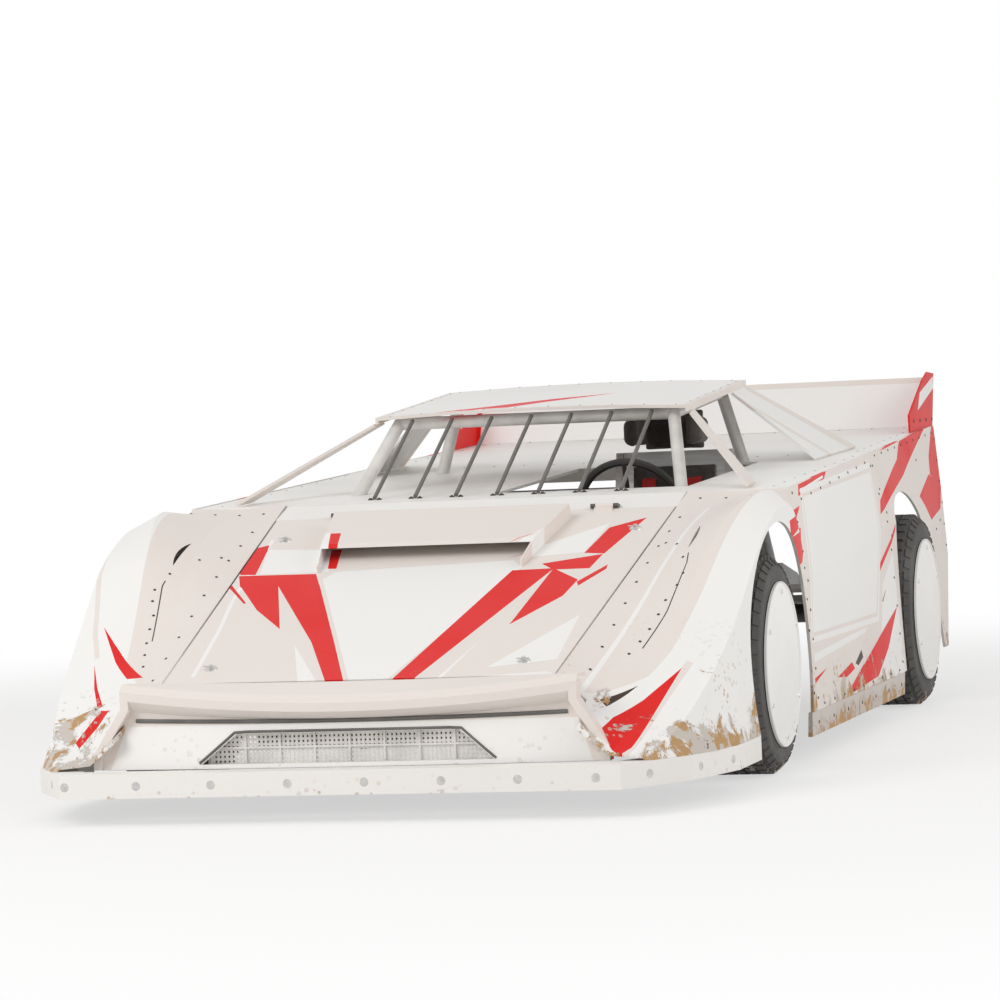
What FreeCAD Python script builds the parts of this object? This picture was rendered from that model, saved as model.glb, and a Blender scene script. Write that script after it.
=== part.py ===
"""A dirt-track late model stock car, in millimetres.

+X is the car's left (the driver's side), the nose points along -Y and +Z is up.
The origin is on the ground, at the middle of the car's length and width. Places
along the car are given from the front axle.
"""
import FreeCAD, Part
import Sketcher
import math
import os
import re

Vector = FreeCAD.Vector
ORIGIN = Vector(0, 0, 0)
ALONG_X = Vector(1, 0, 0)
ALONG_Y = Vector(0, 1, 0)
ALONG_Z = Vector(0, 0, 1)

doc = FreeCAD.newDocument("StockCar")

# The driving dimensions
SIZES = (
    ("wheelbase", 2640, "front axle to rear axle"),
    ("front_axle_y", -1310, "front axle, from the middle of the car's length"),
    ("tyre_radius_front", 350, "front tyre outer radius"),
    ("tyre_width_front", 290, "front tyre width"),
    ("tyre_radius_rear", 360, "rear tyre outer radius"),
    ("tyre_width_rear", 330, "rear tyre width"),
    ("tyre_shoulder", 34, "slope of the tyre's shoulder"),
    ("wheel_face_front", 1095, "front wheel's outer face from the centre line"),
    ("wheel_face_rear", 1105, "rear wheel's outer face from the centre line"),
    ("rim_radius", 204, "outer radius of the wheel barrel"),
    ("rim_wall", 9, "thickness of the wheel barrel"),
    ("disc_depth", 110, "wheel disc behind the wheel's outer face"),
    ("disc_wall", 10, "thickness of the wheel disc"),
    ("cover_radius", 262, "radius of the mud cover"),
    ("cover_edge", 5, "thickness of the mud cover's edge"),
    ("cover_dish", 26, "how far the mud cover bulges"),
    ("spindle_radius", 30, "wheel spindle"),
    ("hub_radius", 62, "wheel hub"),
    ("hub_inset", 50, "inner end of the hub from the wheel's inner edge"),
    ("rotor_radius", 158, "brake rotor"),
    ("rotor_inset", 72, "brake rotor from the wheel's inner edge"),
    ("rotor_thick", 24, "brake rotor thickness"),
    ("kingpin_x", 786, "steering axis of a front wheel from the centre line"),
    ("knuckle_height", 250, "height of the knuckle's post"),
    ("knuckle_wide", 44, "width of the knuckle's post"),
    ("knuckle_deep", 60, "depth of the knuckle's post"),
    ("running_gap", 0.3, "clearance of a piece on its pin or seat"),
    ("seam", 7, "gap round the hood"),
    ("sheet_wall", 10, "thickness of a body panel with its folded edge"),
    ("body_half", 1110, "half of the widest body"),
    ("crest_z", 900, "top of the front fender"),
    ("foot_z", 160, "lower edge of the side panels"),
    ("rocker_z", 80, "lower edge of the rocker strip"),
    ("strip_wall", 14, "thickness of the splitter and the rocker strips"),
    ("hood_front_y", -1040, "front edge of the hood"),
    ("hood_front_z", 410, "height of the hood's front edge"),
    ("hood_front_half", 620, "half width of the hood in front"),
    ("hood_rear_y", 340, "rear edge of the hood"),
    ("hood_rear_z", 855, "height of the hood's rear edge"),
    ("hood_rear_half", 690, "half width of the hood at the rear"),
    ("hood_fold", 24, "height of the hood's turned-down edges"),
    ("hinge_pin", 3.5, "radius of the hood hinge pins"),
    ("hinge_eye", 8, "outer radius of the hood hinge eyes"),
    ("hinge_length", 60, "length of a hood hinge eye"),
    ("hinge_x", 450, "hood hinge from the centre line"),
    ("hinge_rise", 10, "hinge pin above the hood's rear edge"),
    ("scoop_front_half", 345, "half width of the scoop's front"),
    ("scoop_rear_half", 405, "half width of the scoop's rear"),
    ("scoop_x", -50, "middle of the scoop from the centre line"),
    ("scoop_length", 440, "length of the scoop"),
    ("scoop_height", 52, "height of the scoop"),
    ("scoop_wall", 6, "thickness of the scoop"),
    ("scoop_from_rear", 520, "front of the scoop from the hood's rear edge"),
    ("nose_y", -1190, "front rim of the nose"),
    ("nose_bottom_half", 812, "half width of the nose at its foot"),
    ("nose_top_half", 719, "half width of the nose at its lip"),
    ("splitter_y", -1290, "front of the splitter"),
    ("splitter_half", 875, "half width of the splitter's straight front"),
    ("splitter_end_y", -420, "rear end of the splitter's sides"),
    ("splitter_z", 85, "underside of the splitter"),
    ("splitter_ledge", 90, "width of the ledge on the splitter"),
    ("arch_front", 455, "radius of the front wheel opening"),
    ("door_front_y", 490, "front edge of the door panel"),
    ("door_to_axle", 510, "rear edge of the door panel before the rear axle"),
    ("door_top_in", 65, "top edge of the door inside the widest body"),
    ("tail_reach", 1190, "rear end of the side panels behind the rear axle"),
    ("tail_top_z", 1035, "height of the side panels at the tail"),
    ("tail_half", 955, "half width at the tail, along the top"),
    ("tail_panel_z", 860, "lower edge of the tail panel"),
    ("deck_to_axle", 490, "front edge of the rear deck before the rear axle"),
    ("deck_drop", 2, "decks below the side panels' top edge"),
    ("roof_front_to_axle", 1520, "front edge of the roof before the rear axle"),
    ("roof_rear_to_axle", 560, "rear edge of the roof before the rear axle"),
    ("roof_front_z", 1180, "height of the roof's front edge"),
    ("roof_rear_z", 1255, "height of the roof's rear edge"),
    ("roof_half", 568, "half width of the roof"),
    ("roof_crown", 14, "how far the roof's middle stands above its sides"),
    ("roof_lip", 22, "height of the roof's turned-down sides"),
    ("post_foot_y", 520, "foot of the windscreen post's front edge"),
    ("post_foot_half", 900, "foot of the windscreen post from the centre line"),
    ("post_width", 95, "width of the windscreen post at the roof"),
    ("sail_foot_half", 890, "foot of the sail panel from the centre line"),
    ("sail_front_to_axle", 760, "foot of the sail's front edge before the rear axle"),
    ("sail_rear_to_axle", 140, "foot of the sail's rear edge before the rear axle"),
    ("spoiler_top_z", 1230, "top edge of the spoiler"),
    ("spoiler_foot", 85, "foot of the spoiler blade before the tail"),
    ("spoiler_wall", 8, "thickness of the spoiler"),
    ("rail_wide", 50, "frame rail width"),
    ("rail_high", 76, "frame rail height"),
    ("cross_high", 60, "height of the frame's cross members"),
    ("rail_half", 640, "side rails of the cockpit from the centre line"),
    ("rail_z", 150, "middle of the side rails"),
    ("clip_half", 400, "front rails from the centre line"),
    ("clip_z", 230, "middle of the front rails"),
    ("rear_rail_half", 470, "rear rails from the centre line"),
    ("tow_hole", 20, "radius of the tow eyes"),
    ("tow_wall", 14, "thickness of the tow plates"),
    ("cage_tube", 22, "radius of the roll cage tubes"),
    ("hoop_to_axle", 680, "main hoop of the roll cage before the rear axle"),
    ("bar_tube", 7, "radius of the windscreen bars"),
    ("bar_count", 7, "number of windscreen bars"),
    ("bar_pitch", 145, "spacing of the windscreen bars"),
    ("bar_foot_y", 640, "feet of the windscreen bars"),
    ("firewall_y", 720, "firewall"),
    ("cockpit_half", 560, "half width of the firewall and the rear bulkhead"),
    ("bulkhead_z", 840, "top of the rear bulkhead"),
    ("floor_wall", 6, "thickness of the cockpit sheet"),
    ("tunnel_half", 125, "half width of the drive tunnel"),
    ("tunnel_z", 440, "top of the drive tunnel"),
    ("driver_x", 350, "middle of the driver's seat"),
    ("seat_half", 215, "half width of the seat"),
    ("seat_wall", 24, "thickness of the seat's sides"),
    ("ring_radius", 178, "radius of the steering wheel"),
    ("grip_radius", 14, "radius of the steering wheel's grip"),
    ("column_radius", 18, "radius of the steering column"),
    ("engine_length", 620, "length of the engine"),
    ("engine_width", 520, "width of the engine"),
    ("engine_height", 430, "height of the engine"),
    ("engine_front_y", -130, "front face of the engine"),
    ("engine_z", 240, "underside of the engine"),
    ("gearbox_radius", 84, "radius of the gearbox"),
    ("gearbox_length", 370, "length of the gearbox behind its bell"),
    ("bell_radius", 150, "radius of the bell housing"),
    ("bell_length", 130, "length of the bell housing"),
    ("shaft_z", 330, "height of the gearbox shaft"),
    ("shaft_radius", 40, "radius of the drive shaft"),
    ("radiator_width", 600, "width of the radiator"),
    ("radiator_depth", 60, "depth of the radiator"),
    ("radiator_height", 215, "height of the radiator"),
    ("radiator_y", -850, "front face of the radiator"),
    ("radiator_z", 215, "underside of the radiator"),
    ("cell_width", 640, "width of the fuel cell"),
    ("cell_length", 480, "length of the fuel cell"),
    ("cell_height", 300, "height of the fuel cell"),
    ("cell_from_axle", 340, "front face of the fuel cell behind the rear axle"),
    ("cell_z", 380, "underside of the fuel cell"),
    ("axle_tube", 38, "radius of the rear axle's tubes"),
    ("axle_case", 145, "radius of the rear axle's centre"),
    ("axle_case_half", 110, "half width of the rear axle's centre"),
    ("axle_nose", 210, "reach of the rear axle's drive flange"),
    ("axle_nose_radius", 60, "radius of the rear axle's drive flange"),
    ("arm_rod", 17, "radius of the lower arms' tubes"),
    ("damper_rod", 20, "radius of the dampers' ends"),
    ("damper_body", 46, "radius of the dampers' springs"),
)
NAMES = {alias for alias, value, note in SIZES}

sheet = doc.addObject("Spreadsheet::Sheet", "Sizes")
for row, (alias, value, note) in enumerate(SIZES, start=1):
    sheet.set("A%d" % row, note)
    sheet.set("B%d" % row, str(value))
    sheet.setAlias("B%d" % row, alias)
doc.recompute()


def size(alias):
    """One driving dimension, read from the sheet."""
    return float(sheet.get(alias))


WALL = size("sheet_wall")
AXLE_Y = size("front_axle_y")
HALF = size("body_half")
CREST = size("crest_z")
FOOT = size("foot_z")
GAP = size("running_gap")
SEAM = size("seam")
REAR = size("wheelbase")
TUBE = size("cage_tube")
DOOR_FRONT = size("door_front_y")
DOOR_REAR = REAR - size("door_to_axle")
TAIL = REAR + size("tail_reach")
DECK_DROP = size("deck_drop")
ROOF_FRONT = REAR - size("roof_front_to_axle")
ROOF_REAR = REAR - size("roof_rear_to_axle")
HOOP = REAR - size("hoop_to_axle")
nodes = []

# The same places as formulas over the sheet
REAR_AT = "(front_axle_y + wheelbase)"
TAIL_AT = "(front_axle_y + wheelbase + tail_reach)"
HOOP_AT = "(front_axle_y + wheelbase - hoop_to_axle)"
DECK_SLOPE = "((tail_top_z - crest_z) / (wheelbase + tail_reach - door_front_y))"
DECK_TAPER = "((tail_half - body_half + door_top_in) / (wheelbase + tail_reach - door_front_y))"


def formula(text):
    """The text as an expression over the sheet's names."""
    return re.sub("[a-z_]+",
                  lambda word: "Sizes." + word.group() if word.group() in NAMES else word.group(), text)


def tie(item, formulas):
    """Bind sizes and places of an object to the sheet."""
    for name, text in formulas.items():
        item.setExpression(name, formula(text))
    return item


def base_at(spot):
    """The formulas that put an object's own origin at a spot."""
    return dict(zip(("Placement.Base.x", "Placement.Base.y", "Placement.Base.z"), spot))


def block(name, extent, corner):
    """A box with its extent and its lowest corner as formulas."""
    box = doc.addObject("Part::Box", name)
    tie(box, dict(zip(("Length", "Width", "Height"), extent)))
    return tie(box, base_at(corner))


def drum(name, radius, length, start, way=ALONG_X):
    """A cylinder along an axis of the car, with its sizes and the middle of its first end as formulas."""
    cylinder = doc.addObject("Part::Cylinder", name)
    cylinder.Placement = FreeCAD.Placement(ORIGIN, FreeCAD.Rotation(ALONG_Z, way))
    tie(cylinder, {"Radius": radius, "Height": length})
    return tie(cylinder, base_at(start))


def outline(body, plane, corners, name, offset="0"):
    """A closed sketch of straight lines on a plane of the body, each corner a pair of formulas."""
    sketch = body.newObject("Sketcher::SketchObject", name)
    support = next(feature for feature in body.Origin.OriginFeatures if feature.Role == plane)
    sketch.AttachmentSupport = [(support, "")]
    sketch.MapMode = "FlatFace"
    tie(sketch, {"AttachmentOffset.Base.z": offset})
    count = len(corners)
    turn = 2 * math.pi / count
    rough = [Vector(math.cos(i * turn), math.sin(i * turn), 0) * HALF for i in range(count)]
    sketch.addGeometry([Part.LineSegment(rough[i - 1], rough[i]) for i in range(count)], False)
    sketch.addConstraint([Sketcher.Constraint("Coincident", i - 1, 2, i, 1) for i in range(1, count)])
    sketch.addConstraint(Sketcher.Constraint("Coincident", count - 1, 2, 0, 1))
    for i, pair in enumerate(corners):
        for kind, text, value in zip(("DistanceX", "DistanceY"), pair, rough[i - 1]):
            number = sketch.addConstraint(Sketcher.Constraint(kind, -1, 1, i, 1, value))
            tie(sketch, {"Constraints[%d]" % number: text})
    return sketch


def new_body(name, spot=("0", "0", "0")):
    """An empty body with its own origin at a spot."""
    return tie(doc.addObject("PartDesign::Body", name), base_at(spot))


def padded(name, plane, corners, length, spot=("0", "0", "0"), backwards=False, midplane=False):
    """A body made of one outline, as long as the formula says."""
    body = new_body(name, spot)
    pad = body.newObject("PartDesign::Pad", name + "Pad")
    pad.Profile = outline(body, plane, corners, name + "Outline")
    pad.Reversed = backwards
    pad.Midplane = midplane
    tie(pad, {"Length": length})
    return body


def along_y(name, corners, start, length):
    """A straight bar from a place backwards, with its section in X and Z."""
    return padded(name, "XZ_Plane", corners, length, ("0", start, "0"), backwards=True)


def turned(name, corners, spot):
    """A body turned about the X axis through a spot, its half profile in X and Z."""
    body = new_body(name, spot)
    profile = outline(body, "XZ_Plane", corners, name + "Profile")
    turn = body.newObject("PartDesign::Revolution", name + "Turn")
    turn.Profile = profile
    turn.ReferenceAxis = (profile, ["H_Axis"])
    turn.Angle = 360
    return body


def fused(name, pieces):
    """One solid from objects that overlap."""
    union = doc.addObject("Part::MultiFuse", name)
    union.Shapes = pieces
    union.Refine = True
    return union


def cut_by(name, base, tool):
    """An object less another."""
    rest = doc.addObject("Part::Cut", name)
    rest.Base = base
    rest.Tool = tool
    return rest


def other_side(item, name):
    """The same object on the car's other side."""
    copy = doc.addObject("Part::Mirroring", name)
    copy.Source = item
    copy.Base = ORIGIN
    copy.Normal = ALONG_X
    return copy


def group(name, pieces):
    """Objects that share a node as separate solids."""
    together = doc.addObject("Part::Compound", name)
    together.Links = pieces
    return together


def pair(name, item):
    """An object with its like on the car's other side."""
    return group(name, [item, other_side(item, name + "Other")])


def shaped(name, shape):
    """An object that holds a shape made by the functions below."""
    piece = doc.addObject("Part::Feature", name)
    piece.Shape = shape
    piece.Placement = FreeCAD.Placement(ORIGIN, FreeCAD.Rotation())
    return piece


def keep(label, item):
    """Make an object a sub-part of its own."""
    item.Label = label
    nodes.append(item)
    return item


def place(x, y, z):
    """A point given from the front axle along the car."""
    return Vector(x, y + AXLE_Y, z)


def mirrored(shape):
    """The same shape on the car's other side."""
    return shape.mirror(ORIGIN, ALONG_X)


def both(shapes):
    """Left-hand shapes with their likes on the right, as one compound."""
    return Part.makeCompound(shapes + [mirrored(shape) for shape in shapes])


def rod(start, end, radius):
    """A round bar from one point to another."""
    run = end - start
    return Part.makeCylinder(radius, run.Length, start, run)


def join(shapes):
    """One solid from shapes that overlap."""
    return shapes[0].multiFuse(shapes[1:]).removeSplitter()


def slab(points, depth):
    """A flat piece with the outline given, as thick as the vector depth."""
    return Part.Face(Part.makePolygon(points + points[:1])).extrude(depth)


def inset(line, wall):
    """The line moved to its right by a wall's thickness, with mitred corners."""
    moved = []
    for i, (a, b) in enumerate(line):
        before = line[max(i - 1, 0)]
        after = line[min(i + 1, len(line) - 1)]
        legs = []
        for start, end in ((before, line[i]), (line[i], after)):
            length = math.hypot(end[0] - start[0], end[1] - start[1])
            if length:
                legs.append(((end[1] - start[1]) / length, (start[0] - end[0]) / length))
        na = sum(leg[0] for leg in legs)
        nb = sum(leg[1] for leg in legs)
        share = wall * len(legs) / (na * na + nb * nb)
        moved.append((a + na * share, b + nb * share))
    return moved


def across(y, line, wall=WALL):
    """The closed section of a sheet at one place along the car, from its outer line in X and Z."""
    loop = line + inset(line, wall)[::-1]
    points = [place(x, y, z) for x, z in loop]
    return Part.makePolygon(points + points[:1])


def panel(sections, straight=False):
    """A sheet panel through its sections."""
    return Part.makeLoft(sections, True, straight)


def share_of(y, start, end):
    """How far y lies from start to end, as a share."""
    return (y - start) / (end - start)


def blend(part, start, end):
    """The value at a share of the way from start to end."""
    return start + part * (end - start)


def hood_half(y):
    """Half width of the hood at a place along the car."""
    part = share_of(y, size("hood_front_y"), size("hood_rear_y"))
    return blend(part, size("hood_front_half"), size("hood_rear_half"))


def hood_z(y):
    """Height of the hood at a place along the car."""
    part = share_of(y, size("hood_front_y"), size("hood_rear_y"))
    return blend(part, size("hood_front_z"), size("hood_rear_z"))


def top_z(y):
    """Height of the side panels' top edge behind the fender."""
    return blend(share_of(y, DOOR_FRONT, TAIL), CREST, size("tail_top_z"))


def top_half(y):
    """Half width of the side panels' top edge behind the fender."""
    return blend(share_of(y, DOOR_FRONT, TAIL), HALF - size("door_top_in"), size("tail_half"))


def deck_z(y):
    """Height of the decks."""
    return top_z(y) - DECK_DROP


def roof_side_z(y):
    """Height of the roof's side edge."""
    return blend(share_of(y, ROOF_FRONT, ROOF_REAR), size("roof_front_z"), size("roof_rear_z"))


# Fenders. A station is its place, then how far its crest, its shoulder and its foot
# stand in from the widest body and how far crest and shoulder lie below the top.
FENDER_STATIONS = (
    (-1180, 290, 715, 190, 725, 150),
    (-1040, 262, 646, 125, 668, 79),
    (-794, 232, 498, 62, 520, 10),
    (-478, 205, 292, 26, 312, 0),
    (-285, 168, 150, 14, 172, 0),
    (-100, 132, 52, 9, 86, 0),
    (60, 96, 6, 7, 46, 0),
    (250, 74, 0, 10, 60, 0),
    (DOOR_FRONT, size("door_top_in"), 0, 22, 300, 2),
)
DISH = 9
FOOT_SPARE = 15
FAR = 3000
ARCH_INNER = HALF - 250
ARCH_DEPTH = 400


def fender_line(station):
    """The fender's outer line at a station, from the hood down to the foot."""
    y, crest_in, crest_drop, shoulder_in, shoulder_drop, foot_in = station
    start = (hood_half(y) + SEAM, hood_z(y))
    crest = (HALF - crest_in, CREST - crest_drop)
    dish = ((start[0] + crest[0]) / 2, (start[1] + crest[1]) / 2 - DISH)
    shoulder = (HALF - shoulder_in, CREST - shoulder_drop)
    return [start, dish, crest, shoulder, (HALF - foot_in, FOOT - FOOT_SPARE)]


def under_foot():
    """What lies below the side panels' lower edge."""
    return Part.makeBox(FAR, 2 * FAR, FOOT, Vector(0, -FAR, 0))


def arch_cutter(points):
    """A cutter through a side panel, with its outline in Y and Z as a smooth curve closed by a line."""
    curve = Part.BSplineCurve()
    curve.interpolate([place(ARCH_INNER, y, z) for y, z in points])
    chord = Part.makeLine(place(ARCH_INNER, *points[-1]), place(ARCH_INNER, *points[0]))
    return Part.Face(Part.Wire([curve.toShape(), chord])).extrude(Vector(ARCH_DEPTH, 0, 0))


fender = panel([across(station[0], fender_line(station)) for station in FENDER_STATIONS])
front_wheel = Part.makeCylinder(size("arch_front"), ARCH_DEPTH,
                                place(ARCH_INNER, 0, size("tyre_radius_front")), ALONG_X)
nose_end = size("hood_front_y") - SEAM
nose_room = Part.makeBox(size("nose_top_half") + 1, FAR, FAR, place(0, nose_end - FAR, 0))
fender = fender.cut(front_wheel).cut(nose_room).cut(under_foot())
keep("fenders", shaped("FenderPair", both([fender])))

# Doors: flat panels with one crease, bolted on
DOOR_CREASE = (22, 300)
DOOR_FOOT_IN = 2
REAR_CREASE = (38, 270)
REAR_FOOT_IN = 5
TAIL_CREASE = (130, 300)
TAIL_FOOT_IN = 95
DOOR_LENGTH = "(wheelbase - door_to_axle - door_front_y)"
door = new_body("DoorPanel")
door_sections = []
for name, top_in, top_at, crease, foot_in, spot in (
        ("DoorFront", "door_top_in", "crest_z", DOOR_CREASE, DOOR_FOOT_IN, "door_front_y"),
        ("DoorRear", "door_top_in - %s * %s" % (DECK_TAPER, DOOR_LENGTH),
         "crest_z + %s * %s" % (DECK_SLOPE, DOOR_LENGTH),
         REAR_CREASE, REAR_FOOT_IN, "(wheelbase - door_to_axle)")):
    line = [("body_half - (%s)" % top_in, top_at), ("body_half - %g" % crease[0],
                                                    "%s - %g" % (top_at, crease[1])),
            ("body_half - %g" % foot_in, "foot_z")]
    section = line + [(x + " - sheet_wall", z) for x, z in line[::-1]]
    door_sections.append(outline(door, "XZ_Plane", section, name, "-(front_axle_y + %s)" % spot))
door_loft = door.newObject("PartDesign::AdditiveLoft", "DoorLoft")
door_loft.Profile = door_sections[0]
door_loft.Sections = door_sections[1:]
door_loft.Ruled = True
keep("doors", pair("DoorPair", door))

# Quarter panels with the rear wheel opening, from the rear axle
REAR_ARCH = ((-455, 0), (-410, 419), (-376, 565), (-295, 728), (-63, 805), (257, 763), (517, 616),
             (645, 473), (800, 160), (870, 0))
TAIL_RISE = ((-330, 100), (90, 620), (90, 100))
quarter_stations = ((DOOR_REAR, REAR_CREASE, REAR_FOOT_IN), (TAIL, TAIL_CREASE, TAIL_FOOT_IN))
quarter_sections = []
for y, crease, foot_in in quarter_stations:
    line = [(top_half(y), top_z(y)), (HALF - crease[0], top_z(y) - crease[1]),
            (HALF - foot_in, FOOT - FOOT_SPARE)]
    quarter_sections.append(across(y, line))
quarter = panel(quarter_sections, True)
rise = [place(ARCH_INNER, TAIL + y, z) for y, z in TAIL_RISE]
quarter = quarter.cut(arch_cutter([(REAR + y, z) for y, z in REAR_ARCH]))
quarter = quarter.cut(slab(rise, Vector(ARCH_DEPTH, 0, 0))).cut(under_foot())
keep("quarters", shaped("QuarterPair", both([quarter])))

# Rocker strips under the doors
ROCKER_BACK = 10
ROCKER_AHEAD = 90
rocker_line = [("body_half - 2", "foot_z - running_gap"), ("body_half - 6", "rocker_z")]
rocker_section = rocker_line + [(x + " - strip_wall", z) for x, z in rocker_line[::-1]]
rocker = along_y("RockerStrip", rocker_section, "front_axle_y + door_front_y - %g" % ROCKER_AHEAD,
                 DOOR_LENGTH + " + %g" % (ROCKER_AHEAD - ROCKER_BACK))
keep("rockers", pair("RockerPair", rocker))

# The hood: a flat sheet with turned-down edges, in its own slope
HOOD_RUN = "(hood_rear_y - hood_front_y)"
HOOD_RISE = "(hood_rear_z - hood_front_z)"
HOOD_LENGTH = "sqrt(%s^2 + %s^2)" % (HOOD_RUN, HOOD_RISE)
HOOD_ANGLE = {"Placement.Rotation.Angle": "atan(%s / %s)" % (HOOD_RISE, HOOD_RUN)}
FLANGE = 10


def sloped(item, angle):
    """Turn an object about the X axis by an angle given as a formula."""
    item.Placement = FreeCAD.Placement(item.Placement.Base, FreeCAD.Rotation(ALONG_X, 1))
    return tie(item, angle)


hood_spot = ("0", "front_axle_y + hood_front_y", "hood_front_z")
hood_plan = [("-hood_front_half", "0"), ("hood_front_half", "0"), ("hood_rear_half", HOOD_LENGTH),
             ("-hood_rear_half", HOOD_LENGTH)]
hood_skin = sloped(padded("HoodSkin", "XY_Plane", hood_plan, "hood_fold", hood_spot, backwards=True),
                   HOOD_ANGLE)
hollow_plan = [("-hood_front_half + %g" % FLANGE, "%g" % FLANGE),
               ("hood_front_half - %g" % FLANGE, "%g" % FLANGE),
               ("hood_rear_half - %g" % FLANGE, HOOD_LENGTH + " - %g" % FLANGE),
               ("-hood_rear_half + %g" % FLANGE, HOOD_LENGTH + " - %g" % FLANGE)]
hollow = hood_skin.newObject("PartDesign::Pocket", "HoodHollow")
hollow.Profile = outline(hood_skin, "XY_Plane", hollow_plan, "HoodHollowOutline", "-hood_fold")
hollow.Reversed = True
tie(hollow, {"Length": "hood_fold - sheet_wall"})

# Its two hinges: an eye on the hood between two eyes on the cowl, round one pin
HINGE_Y = "(front_axle_y + hood_rear_y + seam / 2)"
HINGE_Z = "(hood_rear_z + hinge_rise)"
LEAF_REACH = 26
LEAF_HIGH = 6
KNUCKLE = 16
EYE_GAP = 1
eye = drum("HoodEye", "hinge_eye", "hinge_length", ("hinge_x - hinge_length / 2", HINGE_Y, HINGE_Z))
leaf = block("HoodLeaf", ("hinge_length", "%g - seam / 2" % LEAF_REACH, "sheet_wall + %g - 1" % LEAF_HIGH),
             ("hinge_x - hinge_length / 2", HINGE_Y + " - %g" % LEAF_REACH, "hood_rear_z - sheet_wall + 1"))
bore = drum("HoodBore", "hinge_pin + running_gap", "hinge_length",
            ("hinge_x - hinge_length / 2", HINGE_Y, HINGE_Z))
hood_pieces = [hood_skin, eye, leaf, other_side(eye, "HoodEyeRight"), other_side(leaf, "HoodLeafRight")]
keep("hood", cut_by("HoodBored", fused("HoodWhole", hood_pieces), pair("HoodBores", bore)))

COWL_SLOPE = "((crest_z - deck_drop - hood_rear_z) / (door_front_y - hood_rear_y - seam))"
pin_half = "(hinge_length / 2 + %g)" % (EYE_GAP + KNUCKLE)
tab_z = "hood_rear_z + (%g - seam / 2) * %s + running_gap" % (LEAF_REACH, COWL_SLOPE)
hinge = [drum("HingePin", "hinge_pin", "2 * " + pin_half, ("hinge_x - " + pin_half, HINGE_Y, HINGE_Z))]
for name, start in (("Inner", "hinge_x - " + pin_half), ("Outer",
                                                         "hinge_x + hinge_length / 2 + %g" % EYE_GAP)):
    hinge.append(drum("CowlEye" + name, "hinge_eye", "%g" % KNUCKLE, (start, HINGE_Y, HINGE_Z)))
    hinge.append(block("CowlTab" + name, ("%g" % KNUCKLE, "%g" % (LEAF_REACH - 2), "%g" % LEAF_HIGH),
                       (start, HINGE_Y + " + 2", tab_z)))
keep("hood_hinges", pair("HingePair", fused("Hinge", hinge)))

# The scoop on the hood, open to the front, in the hood's slope
SCOOP_AT = HOOD_LENGTH + " - scoop_from_rear"
scoop_plan = [("scoop_x - scoop_front_half", SCOOP_AT), ("scoop_x + scoop_front_half", SCOOP_AT),
              ("scoop_x + scoop_rear_half", SCOOP_AT + " + scoop_length"),
              ("scoop_x - scoop_rear_half", SCOOP_AT + " + scoop_length")]
scoop = sloped(padded("ScoopShell", "XY_Plane", scoop_plan, "scoop_height", hood_spot), HOOD_ANGLE)
scoop_room = [("scoop_x - scoop_front_half + scoop_wall", SCOOP_AT + " - scoop_wall"),
              ("scoop_x + scoop_front_half - scoop_wall", SCOOP_AT + " - scoop_wall"),
              ("scoop_x + scoop_rear_half - scoop_wall", SCOOP_AT + " + scoop_length - scoop_wall"),
              ("scoop_x - scoop_rear_half + scoop_wall", SCOOP_AT + " + scoop_length - scoop_wall")]
mouth = scoop.newObject("PartDesign::Pocket", "ScoopHollow")
mouth.Profile = outline(scoop, "XY_Plane", scoop_room, "ScoopHollowOutline")
mouth.Reversed = True
tie(mouth, {"Length": "scoop_height - scoop_wall"})
SCOOP_FRONT_HIGH = 22
slant = [(SCOOP_AT + " - 1", "%g" % SCOOP_FRONT_HIGH), (SCOOP_AT + " - 1", "scoop_height + 1"),
         (SCOOP_AT + " + scoop_length * 0.3", "scoop_height + 1")]
front_cut = scoop.newObject("PartDesign::Pocket", "ScoopSlant")
front_cut.Profile = outline(scoop, "YZ_Plane", slant, "ScoopSlantOutline")
front_cut.Midplane = True
tie(front_cut, {"Length": "3 * body_half"})
tie(scoop, {"Placement.Base.z": "hood_front_z + running_gap"})
keep("hood_scoop", scoop)

# The cowl between the hood and the decks
cowl_lean = "(sheet_wall * %s / sqrt(1 + %s^2))" % (COWL_SLOPE, COWL_SLOPE)
cowl_run = "(door_front_y - hood_rear_y - seam - running_gap - %s)" % cowl_lean
cowl_length = "%s * sqrt(1 + %s^2)" % (cowl_run, COWL_SLOPE)
cowl_half = "(hood_rear_half + seam - running_gap)"
cowl_plan = [("-" + cowl_half, "0"), (cowl_half, "0"), (cowl_half, cowl_length),
             ("-" + cowl_half, cowl_length)]
cowl = padded("CowlPanel", "XY_Plane", cowl_plan, "sheet_wall",
              ("0", "front_axle_y + hood_rear_y + seam", "hood_rear_z"), True)
keep("cowl", sloped(cowl, {"Placement.Rotation.Angle": "atan(%s)" % COWL_SLOPE}))

# The decks: flat sheets between the side panels, in one slope
DECK_ANGLE = {"Placement.Rotation.Angle": "atan(%s)" % DECK_SLOPE}
DECK_STRETCH = "sqrt(1 + %s^2)" % DECK_SLOPE
deck_spot = ("0", "front_axle_y + door_front_y", "crest_z - deck_drop")


def deck_plan(start, end):
    """The corners of a deck between two distances behind the doors' front edge."""
    corners = []
    for sign, reach in (("-", start), ("", start), ("", end), ("-", end)):
        half = "(body_half - door_top_in + %s * %s - sheet_wall - running_gap)" % (DECK_TAPER, reach)
        corners.append((sign + half, "%s * %s" % (reach, DECK_STRETCH)))
    return corners


TO_DECK = "(wheelbase - deck_to_axle - door_front_y)"
TO_TAIL = "(wheelbase + tail_reach - door_front_y)"
rear_deck = padded("RearDeckPanel", "XY_Plane", deck_plan(TO_DECK, TO_TAIL), "sheet_wall", deck_spot, True)
keep("rear_deck", sloped(rear_deck, DECK_ANGLE))

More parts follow.
